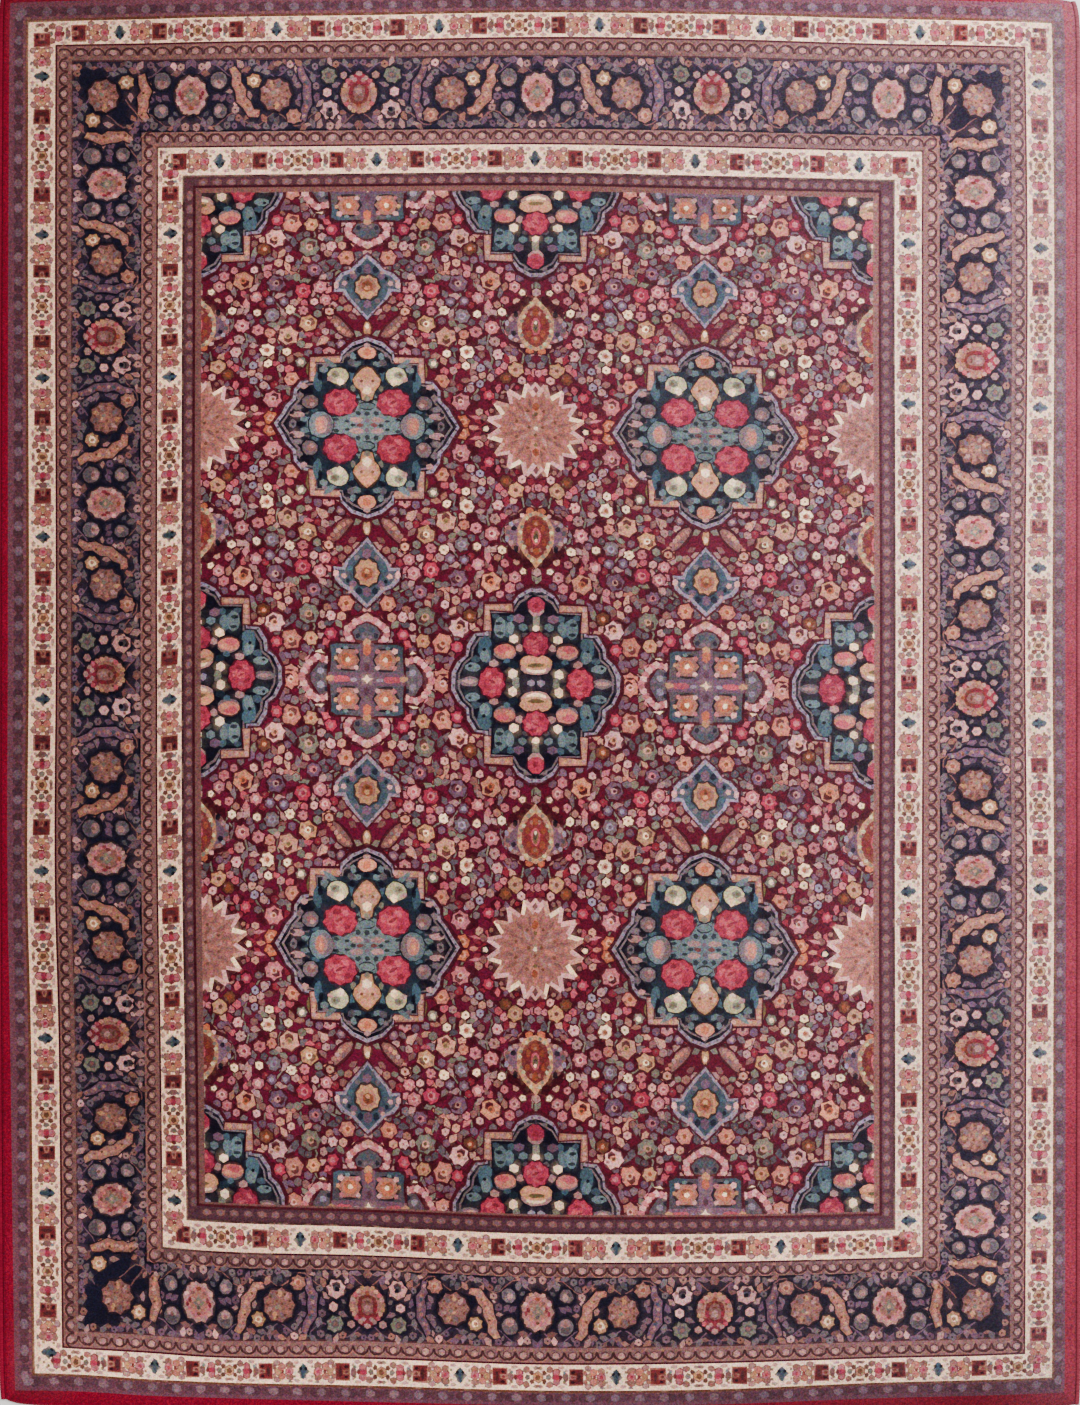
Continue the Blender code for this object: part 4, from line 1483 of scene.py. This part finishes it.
def coloured_mesh(name, places, triangles, colours, material):
    """An object of these triangles, with a colour for each of their corners."""
    used, local = np.unique(triangles, return_inverse=True)
    local = local.reshape(-1, 3)
    mesh = bpy.data.meshes.new(name)
    mesh.vertices.add(len(used))
    mesh.vertices.foreach_set("co", places[used].astype(np.float32).ravel())
    mesh.loops.add(local.size)
    mesh.loops.foreach_set("vertex_index", local.ravel().astype(np.int32))
    mesh.polygons.add(len(local))
    mesh.polygons.foreach_set("loop_start", np.arange(0, local.size, 3, dtype=np.int32))
    mesh.polygons.foreach_set("loop_total", np.full(len(local), 3, dtype=np.int32))
    mesh.update(calc_edges=True)
    mesh.polygons.foreach_set("use_smooth", np.ones(len(local), dtype=bool))
    layer = mesh.color_attributes.new("dye", "FLOAT_COLOR", "CORNER")
    rgba = np.ones((local.size, 4), dtype=np.float32)
    rgba[:, :3] = colours.reshape(-1, 3)
    layer.data.foreach_set("color", rgba.ravel())
    return add_object(mesh, material)


MAP_NAME = "OFBake"
MAP_MARGIN, ROW_GAP = 0.01, 0.03     # round the map, and between its rows as a share of a row
BORDER_MAP_ROWS = 2


def flat_map(obj, rows=1):
    """A map for baking: the piece seen from above, its long side cut into rows laid one above another."""
    mesh = obj.data
    at = np.empty(len(mesh.vertices) * 3, dtype=np.float32)
    mesh.vertices.foreach_get("co", at)
    at = at.reshape(-1, 3)[:, :2]
    low, size = at.min(0), np.ptp(at, axis=0)
    long_axis = int(size[1] > size[0])
    long_side, short_side = size[long_axis], size[1 - long_axis]
    corner = np.empty(len(mesh.loops), dtype=np.int32)
    mesh.loops.foreach_get("vertex_index", corner)
    long_share = ((at[:, long_axis] - low[long_axis]) / long_side)[corner]
    short_share = ((at[:, 1 - long_axis] - low[1 - long_axis]) / short_side)[corner]
    row = np.clip((long_share.reshape(-1, 3).mean(1) * rows).astype(int), 0, rows - 1).repeat(3)
    scale = (1 - 2 * MAP_MARGIN) / max(long_side / rows, short_side * rows * (1 + ROW_GAP))
    u = MAP_MARGIN + (long_share - row / rows) * long_side * scale
    v = MAP_MARGIN + (short_share + row * (1 + ROW_GAP)) * short_side * scale
    layer = mesh.uv_layers.new(name=MAP_NAME)
    layer.data.foreach_set("uv", np.clip(np.stack([u, v], 1), 0, 1).astype(np.float32).ravel())


BLEED = 0.30                 # the neighbours' share of the dye
BLEED_LIMIT, BLEED_FADE = 12.0, 4.0  # triangles with a side this long take none, and over how many units less


def bleed(points, triangles, colours):
    """Lets the edges of small patches take on some of their neighbours' dye, as washed wool does."""
    total, count = np.zeros((len(points), 3)), np.zeros(len(points))
    for k in range(3):
        np.add.at(total, triangles[:, k], colours[:, 0])
        np.add.at(count, triangles[:, k], 1)
    mean = total / np.maximum(count, 1)[:, None]
    corner = points[triangles]
    longest = np.linalg.norm(corner - np.roll(corner, 1, axis=1), axis=2).max(1)
    share = BLEED * np.clip((BLEED_LIMIT - longest) / BLEED_FADE, 0, 1)[:, None, None]
    return colours * (1 - share) + mean[triangles] * share


def weave_pile(material):
    chart = Chart()
    draw_field(chart)
    draw_borders(chart)
    points, triangles, on_top, zones = triangulate(chart)
    x, y = points[:, 0], points[:, 1]
    across, along = woven_place(x, y)
    places = np.stack([across, along, pile_height(x, y, across, along)], 1)
    # Painted sheen and painted light and shade: the wool is darkened at the left, lightened at the right, and
    # veiled pale and cool towards the right and the top
    sheen_veil = painted_sheen_at(x, y)[triangles][..., None]
    wear_and_painted_light = painted_light_at(x, y)[triangles][..., None]
    wool = np.repeat(dye_colours(chart)[on_top][:, None, :], 3, axis=1)
    sheen_cooled = 1 + np.clip(sheen_veil / SHEEN_FULL_COOLING, 0, 1) * (np.array(SHEEN_COOLING) - 1)
    wool = bleed(points, triangles, wool) * wear_and_painted_light * sheen_cooled
    colours = wool * (1 - sheen_veil) + np.array(SHEEN_VEIL_COLOUR) * sheen_veil
    # The chart's y runs down and the floor's Y up, so each triangle is turned over to face up
    triangles = triangles[:, ::-1]
    colours = colours[:, ::-1]
    print("pile:", len(chart.outlines), "patches,", len(triangles), "triangles")
    pieces = []
    for zone in sorted(set(zones) - {None}):
        of_zone = zones == zone
        piece = coloured_mesh("pile_" + zone, places, triangles[of_zone], colours[of_zone], material)
        print(" ", piece.name, int(of_zone.sum()))
        pieces.append(piece)
    return pieces


def edge_wool(x, y):
    """The carpet's red edge yarn at chart points, with the painted light, shade and sheen that the pile has
    there.
    """
    sheen_veil = painted_sheen_at(x, y)[:, None]
    return np.array(DYES["crimson"]) * painted_light_at(x, y)[:, None] * (1 - sheen_veil) + np.array(SHEEN_VEIL_COLOUR) * sheen_veil


# ---------------------------------------------------------------- foundation: the woven back and the edges
WOVEN_BACK = (0.235, 0.105, 0.095)  # the back, where the knots' dyes run together


def rim_line():
    """Chart points round the pile's edge, anticlockwise on the floor from the bottom left corner."""
    corners = [(CHART_LEFT, CHART_BOTTOM), (CHART_RIGHT, CHART_BOTTOM), (CHART_RIGHT, CHART_TOP),
               (CHART_LEFT, CHART_TOP)]
    return np.array(with_steps(corners))


def make_foundation(material):
    """The back and the wall under the pile's edge, as one open shell."""
    x, y = rim_line().T
    across, along = woven_place(x, y)
    rim = pile_height(x, y, across, along)
    count = len(x)
    model = bmesh.new()
    lower = [model.verts.new((a, b, 0.0)) for a, b in zip(across, along)]
    upper = [model.verts.new(place) for place in zip(across, along, rim)]
    for i in range(count):
        j = (i + 1) % count
        model.faces.new((lower[i], lower[j], upper[j], upper[i]))
    model.faces.new(lower[::-1])
    bmesh.ops.triangulate(model, faces=model.faces)
    model.verts.index_update()
    # the wall's red yarn carries the pile's painted light, shade and sheen
    wool = edge_wool(x, y)
    dye = model.loops.layers.float_color.new("dye")
    for face in model.faces:
        is_back = face.normal.z < -0.5
        for corner in face.loops:
            corner[dye] = (*(WOVEN_BACK if is_back else wool[corner.vert.index % count]), 1.0)
    mesh = bpy.data.meshes.new("foundation")
    model.to_mesh(mesh)
    model.free()
    return add_object(mesh, material)


# ---------------------------------------------------------------- selvedges
WRAP_STEP = 0.0035           # from one turn of the yarn to the next
WRAP_DEPTH = 0.10            # how far the cord narrows between two turns, as a share
WRAP_SLANT = 0.0012          # how far the yarn runs along the cord in half a turn
SLANT_EASE = 50              # the slant starts over one part in so many of the cord's half length
CORD_SIDES = 6
CORD_POWER = 0.7             # how square its section is: 1 is round
CORD_ROWS = 10               # rows of its map for baking
ROW_START, ROW_SHARE = 0.06, 0.88     # where the cord lies in a row of that map, across it


def squared_off(direction, size):
    """A cord's section: the direction's cosine or sine, squared off, times half the cord's size."""
    return np.sign(direction) * np.abs(direction) ** CORD_POWER * size / 2


def cord_places(side, v, along):
    """The cord's points, a ring of them for each of the fractions v of the half length."""
    turn = np.arange(CORD_SIDES) * math.tau / CORD_SIDES + math.pi / CORD_SIDES
    middle = side_x(side, v) - side * SELVEDGE_WIDTH / 2
    swell = 1 - WRAP_DEPTH * (np.arange(len(v)) % 2)[:, None]
    round_x, round_z = squared_off(np.cos(turn), SELVEDGE_WIDTH), squared_off(np.sin(turn), SELVEDGE_HEIGHT)
    round_x *= SELVEDGE_WIDTH / 2 / np.abs(round_x).max()
    from_ends = np.clip(np.minimum(v + 1, 1 - v) * SLANT_EASE, 0, 1)[:, None]
    x = middle[:, None] + round_x * swell
    y = along[:, None] + WRAP_SLANT * np.cos(turn) * from_ends
    z = SELVEDGE_HEIGHT / 2 + round_z * swell
    return np.stack([x, y, z], 2).reshape(-1, 3)


def cord_mesh(name, places, count):
    """The cord's mesh, closed at both ends, with its map for baking."""
    ring = range(CORD_SIDES)
    faces, where = [], []
    for i in range(count):
        for k in ring:
            a, b = i * CORD_SIDES + k, i * CORD_SIDES + (k + 1) % CORD_SIDES
            faces.append((a, a + CORD_SIDES, b + CORD_SIDES, b))
            where.append(((i, k), (i + 1, k), (i + 1, k + 1), (i, k + 1)))
    faces += [tuple(ring), tuple(count * CORD_SIDES + k for k in ring)[::-1]]
    mesh = bpy.data.meshes.new(name)
    mesh.from_pydata(places.tolist(), [], faces)
    layer = mesh.uv_layers.new(name=MAP_NAME)
    for face, corners in zip(mesh.polygons, where):
        row = min(corners[0][0] * CORD_ROWS // count, CORD_ROWS - 1)
        for loop, (i, k) in zip(face.loop_indices, corners):
            u = MAP_MARGIN + (1 - 2 * MAP_MARGIN) * (i * CORD_ROWS / count - row)
            layer.data[loop].uv = (u, (row + ROW_START + ROW_SHARE * k / CORD_SIDES) / CORD_ROWS)
    return mesh


def make_selvedge(side, name, material):
    """One side cord: a rounded strip along the carpet, ribbed by the yarn that is wound round it."""
    count = round(CARPET_LENGTH / WRAP_STEP)
    v = np.linspace(-1, 1, count + 1)
    end_low = -CARPET_LENGTH / 2 + end_inset(BOTTOM, np.full_like(v, side))
    end_high = CARPET_LENGTH / 2 - end_inset(TOP, np.full_like(v, side))
    along = end_low + (end_high - end_low) * (v + 1) / 2
    mesh = cord_mesh(name, cord_places(side, v, along), count)

    chart_y = CHART_TOP + (CARPET_LENGTH / 2 - along) / UNIT
    chart_x = np.full_like(chart_y, CHART_LEFT if side == LEFT else CHART_RIGHT)
    shade = np.ones((len(mesh.vertices), 4), dtype=np.float32)
    # the cord's red yarn carries the pile's painted light, shade and sheen
    shade[:, :3] = edge_wool(chart_x, chart_y).repeat(CORD_SIDES, axis=0)
    dye = mesh.color_attributes.new("dye", "FLOAT_COLOR", "POINT")
    dye.data.foreach_set("color", shade.ravel())

    model = bmesh.new()
    model.from_mesh(mesh)
    bmesh.ops.recalc_face_normals(model, faces=model.faces)
    bmesh.ops.triangulate(model, faces=model.faces)
    model.to_mesh(mesh)
    model.free()
    mesh.polygons.foreach_set("use_smooth", [True] * len(mesh.polygons))
    return add_object(mesh, material)


# ---------------------------------------------------------------- materials
NOISE_LOW, NOISE_HIGH = 0.3, 0.7     # most of a noise lies between these


def new_material(name):
    material = bpy.data.materials.new(name)
    material.use_nodes = True
    tree = material.node_tree
    return material, tree, tree.nodes["Principled BSDF"]


def node(tree, kind, **settings):
    made = tree.nodes.new(kind)
    for key, value in settings.items():
        if key in made.inputs:
            made.inputs[key].default_value = value
        else:
            setattr(made, key, value)
    return made


def texture(tree, kind, place, **settings):
    """A texture node that is looked up at the place."""
    made = node(tree, kind, **settings)
    tree.links.new(place, made.inputs["Vector"])
    return made


def stretched(tree, place, by):
    """The place with each of its axes scaled, so that a texture is drawn out along the small ones."""
    made = node(tree, "ShaderNodeVectorMath", operation="MULTIPLY")
    made.inputs[1].default_value = by
    tree.links.new(place, made.inputs[0])
    return made.outputs["Vector"]


def remapped(tree, value, low, high, to_low, to_high):
    """A number taken from one range to another."""
    made = node(tree, "ShaderNodeMapRange")
    for name, number in (("From Min", low), ("From Max", high), ("To Min", to_low), ("To Max", to_high)):
        made.inputs[name].default_value = number
    tree.links.new(value, made.inputs["Value"])
    return made.outputs["Result"]


def multiplied(tree, first, second):
    """One colour times another colour or number."""
    made = node(tree, "ShaderNodeMix", data_type="RGBA", blend_type="MULTIPLY")
    made.inputs["Factor"].default_value = 1.0
    tree.links.new(first, made.inputs["A"])
    tree.links.new(second, made.inputs["B"])
    return made.outputs["Result"]


def shaded(tree, colour, noise, dark, light):
    """The colour times a number between dark and light that follows the noise."""
    shade = remapped(tree, noise.outputs["Fac"], NOISE_LOW, NOISE_HIGH, dark, light)
    return multiplied(tree, colour, shade)


def wool_material(name, roughness, specular):
    """A material, with its tree and shader, and the woven dye and the place on the piece as node outputs."""
    material, tree, shader = new_material(name)
    shader.inputs["Roughness"].default_value = roughness
    shader.inputs["Specular IOR Level"].default_value = specular
    dye = node(tree, "ShaderNodeAttribute", attribute_name="dye").outputs["Color"]
    return material, tree, shader, dye, node(tree, "ShaderNodeTexCoord").outputs["Object"]


def add_relief(tree, shader, height, strength, distance, sunk=False):
    """Bump on the shader, as deep as the distance in metres where the height is 1."""
    bump = node(tree, "ShaderNodeBump", Strength=strength, Distance=distance)
    bump.invert = sunk
    tree.links.new(height, bump.inputs["Height"])
    tree.links.new(bump.outputs["Normal"], shader.inputs["Normal"])


KNOTS_PER_METRE = 360.0
KNOT_SPREAD = 0.34           # how far one knot's lightness strays
MOTTLE = (1.3, 1.495, 1.495)         # how strongly the noise tints the wool, in red, green and blue
MOTTLE_MIDDLE = (1.0, 1.02, 1.02)    # and round which tint
DYE_LOT_SHADES = (0.92, 1.08)
DYE_LOT_STRETCH = (0.25, 1.0, 1.0)   # the lots run across the carpet, as the weaver's rows do


def wool_pile_material():
    """Knots of their own lightness, mottled hues, bands of other dye lots, and the knots as bump."""
    material, tree, shader, dye, place = wool_material("wool_pile", roughness=0.92, specular=0.03)
    shader.inputs["Sheen Weight"].default_value = 0.03
    shader.inputs["Sheen Roughness"].default_value = 0.4
    knots = texture(tree, "ShaderNodeTexVoronoi", place, voronoi_dimensions="2D", Scale=KNOTS_PER_METRE,
                    Randomness=0.75)
    split = node(tree, "ShaderNodeSeparateColor")
    tree.links.new(knots.outputs["Color"], split.inputs["Color"])
    by_knot = remapped(tree, split.outputs["Red"], 0.0, 1.0, 1 - KNOT_SPREAD, 1 + KNOT_SPREAD)

    mottle = texture(tree, "ShaderNodeTexNoise", place, noise_dimensions="2D", Scale=135.0, Detail=2.0,
                     Roughness=0.6)
    hues = node(tree, "ShaderNodeVectorMath", operation="MULTIPLY_ADD")
    hues.inputs[1].default_value = MOTTLE
    hues.inputs[2].default_value = [middle - reach / 2 for middle, reach in zip(MOTTLE_MIDDLE, MOTTLE)]
    tree.links.new(mottle.outputs["Color"], hues.inputs[0])

    lots = texture(tree, "ShaderNodeTexNoise", stretched(tree, place, DYE_LOT_STRETCH), noise_dimensions="2D",
                   Scale=9.0, Detail=1.0, Roughness=0.5)
    wool = multiplied(tree, multiplied(tree, dye, by_knot), hues.outputs["Vector"])
    tree.links.new(shaded(tree, wool, lots, *DYE_LOT_SHADES), shader.inputs["Base Color"])
    add_relief(tree, shader, knots.outputs["Distance"], strength=0.5, distance=0.0010, sunk=True)
    return material


YARN_SHADES = (0.75, 1.45)   # how dark and how light the turns of yarn are
YARN_WEAR = (0.85, 1.12)
YARN_FLUFF = (0.88, 1.12)
YARN_STRETCH = (0.3, 1.0, 0.3)       # the noise is drawn out round the cord, as the yarn runs


def selvedge_material():
    """Red wool yarn wound round the cord: a shade for each turn, patches of wear, and fluff."""
    material, tree, shader, dye, place = wool_material("selvedge_wool", roughness=0.85, specular=0.04)
    turns = texture(tree, "ShaderNodeTexNoise", stretched(tree, place, YARN_STRETCH), Scale=260.0, Detail=3.0,
                    Roughness=0.65)
    fluff = texture(tree, "ShaderNodeTexNoise", place, Scale=700.0, Detail=2.0, Roughness=0.6)
    wear = texture(tree, "ShaderNodeTexNoise", place, Scale=7.0, Detail=2.0, Roughness=0.5)
    # the dye already holds the edge yarn's painted light, shade and sheen; the noise adds real wear
    wear_and_painted_light = shaded(tree, shaded(tree, dye, turns, *YARN_SHADES), wear, *YARN_WEAR)
    tree.links.new(shaded(tree, wear_and_painted_light, fluff, *YARN_FLUFF), shader.inputs["Base Color"])
    add_relief(tree, shader, turns.outputs["Fac"], strength=0.5, distance=0.0008)
    return material


LOOP_SHADES = (0.72, 1.25)
BACK_SHADES = (0.7, 1.3)
ROW_SCALE = 18.0             # of the back's rows: about 57 a metre


def foundation_material():
    """The woven back and the pile's cut side: rows of knot loops between the wefts."""
    material, tree, shader, dye, place = wool_material("foundation_weave", roughness=0.92, specular=0.03)
    loops = node(tree, "ShaderNodeMath", operation="MULTIPLY")
    for socket, direction in zip(loops.inputs, "YX"):
        rows = texture(tree, "ShaderNodeTexWave", place, bands_direction=direction, Scale=ROW_SCALE,
                       Distortion=0.6, Detail=1.0)
        tree.links.new(rows.outputs["Fac"], socket)
    mottle = texture(tree, "ShaderNodeTexNoise", place, Scale=55.0, Detail=4.0, Roughness=0.7)
    wool = multiplied(tree, dye, remapped(tree, loops.outputs["Value"], 0.0, 1.0, *LOOP_SHADES))
    tree.links.new(shaded(tree, wool, mottle, *BACK_SHADES), shader.inputs["Base Color"])
    add_relief(tree, shader, loops.outputs["Value"], strength=0.6, distance=0.0006)
    return material


# ---------------------------------------------------------------- floor, light and camera
FLOOR_SIZE, FLOOR_Z = 24.0, -0.0005
FLOOR_DARK, FLOOR_LIGHT = (0.76, 0.74, 0.71, 1.0), (0.80, 0.78, 0.75, 1.0)
SKY_COLOUR, SKY_STRENGTH = (1.0, 0.99, 0.98, 1.0), 1.1
KEY_PLACE, KEY_SIZE, KEY_ENERGY = (3.0, 3.0, 6.0), 5.0, 900.0
LENS, SENSOR = 50.0, 36.0


def floor_material():
    """A plain pale floor with a faint grain."""
    material, tree, shader = new_material("floor_pale")
    grain = node(tree, "ShaderNodeTexNoise", Scale=6.0, Detail=4.0, Roughness=0.6)
    mix = node(tree, "ShaderNodeMix", data_type="RGBA")
    mix.inputs["A"].default_value = FLOOR_DARK
    mix.inputs["B"].default_value = FLOOR_LIGHT
    tree.links.new(grain.outputs["Fac"], mix.inputs["Factor"])
    tree.links.new(mix.outputs["Result"], shader.inputs["Base Color"])
    shader.inputs["Roughness"].default_value = 0.8
    return material


def make_floor():
    bpy.ops.mesh.primitive_plane_add(size=FLOOR_SIZE, location=(0, 0, FLOOR_Z))
    floor = bpy.context.active_object
    floor.name = "floor"
    floor.data.materials.append(floor_material())
    floor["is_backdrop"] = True


def make_lights():
    world = bpy.data.worlds.new("studio")
    bpy.context.scene.world = world
    world.use_nodes = True
    background = world.node_tree.nodes["Background"]
    background.inputs["Color"].default_value = SKY_COLOUR
    background.inputs["Strength"].default_value = SKY_STRENGTH
    lamp = bpy.data.lights.new("key", "AREA")
    lamp.shape = "SQUARE"
    lamp.size = KEY_SIZE
    lamp.energy = KEY_ENERGY
    key = bpy.data.objects.new("key", lamp)
    key.location = KEY_PLACE
    key.rotation_euler = (-Vector(KEY_PLACE)).to_track_quat("-Z", "Y").to_euler()
    bpy.context.scene.collection.objects.link(key)


def make_camera():
    """Straight above the carpet, so high that the picture shows as much of it as the photo does."""
    data = bpy.data.cameras.new("camera")
    data.lens = LENS
    data.sensor_width = SENSOR
    height = VIEW_SIZE[1] * UNIT / 2 / (SENSOR / 2 / LENS)
    camera = bpy.data.objects.new("camera", data)
    mid_x = (VIEW_SIZE[0] / 2 - (CHART_LEFT + CHART_RIGHT) / 2) * UNIT
    mid_y = ((CHART_TOP + CHART_BOTTOM) / 2 - VIEW_SIZE[1] / 2) * UNIT
    camera.location = (mid_x, mid_y, height + PILE_FACE)
    bpy.context.scene.collection.objects.link(camera)
    bpy.context.scene.camera = camera


def main():
    make_floor()
    make_lights()
    make_camera()
    pile = weave_pile(wool_pile_material())
    foundation = make_foundation(foundation_material())
    for piece in pile + [foundation]:
        flat_map(piece, BORDER_MAP_ROWS if "border" in piece.name else 1)
        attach(piece, "root")
        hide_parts("carpet")
    yarn = selvedge_material()
    for side, name in ((LEFT, "selvedge_left"), (RIGHT, "selvedge_right")):
        cord = make_selvedge(side, name + "_overcast", yarn)
        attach(cord, "root")
        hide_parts(name)
    boxes = {"cad": CAD_BOX, "visual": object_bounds()}
    {name: [list(low), list(high)] for name, (low, high) in boxes.items()}


main()
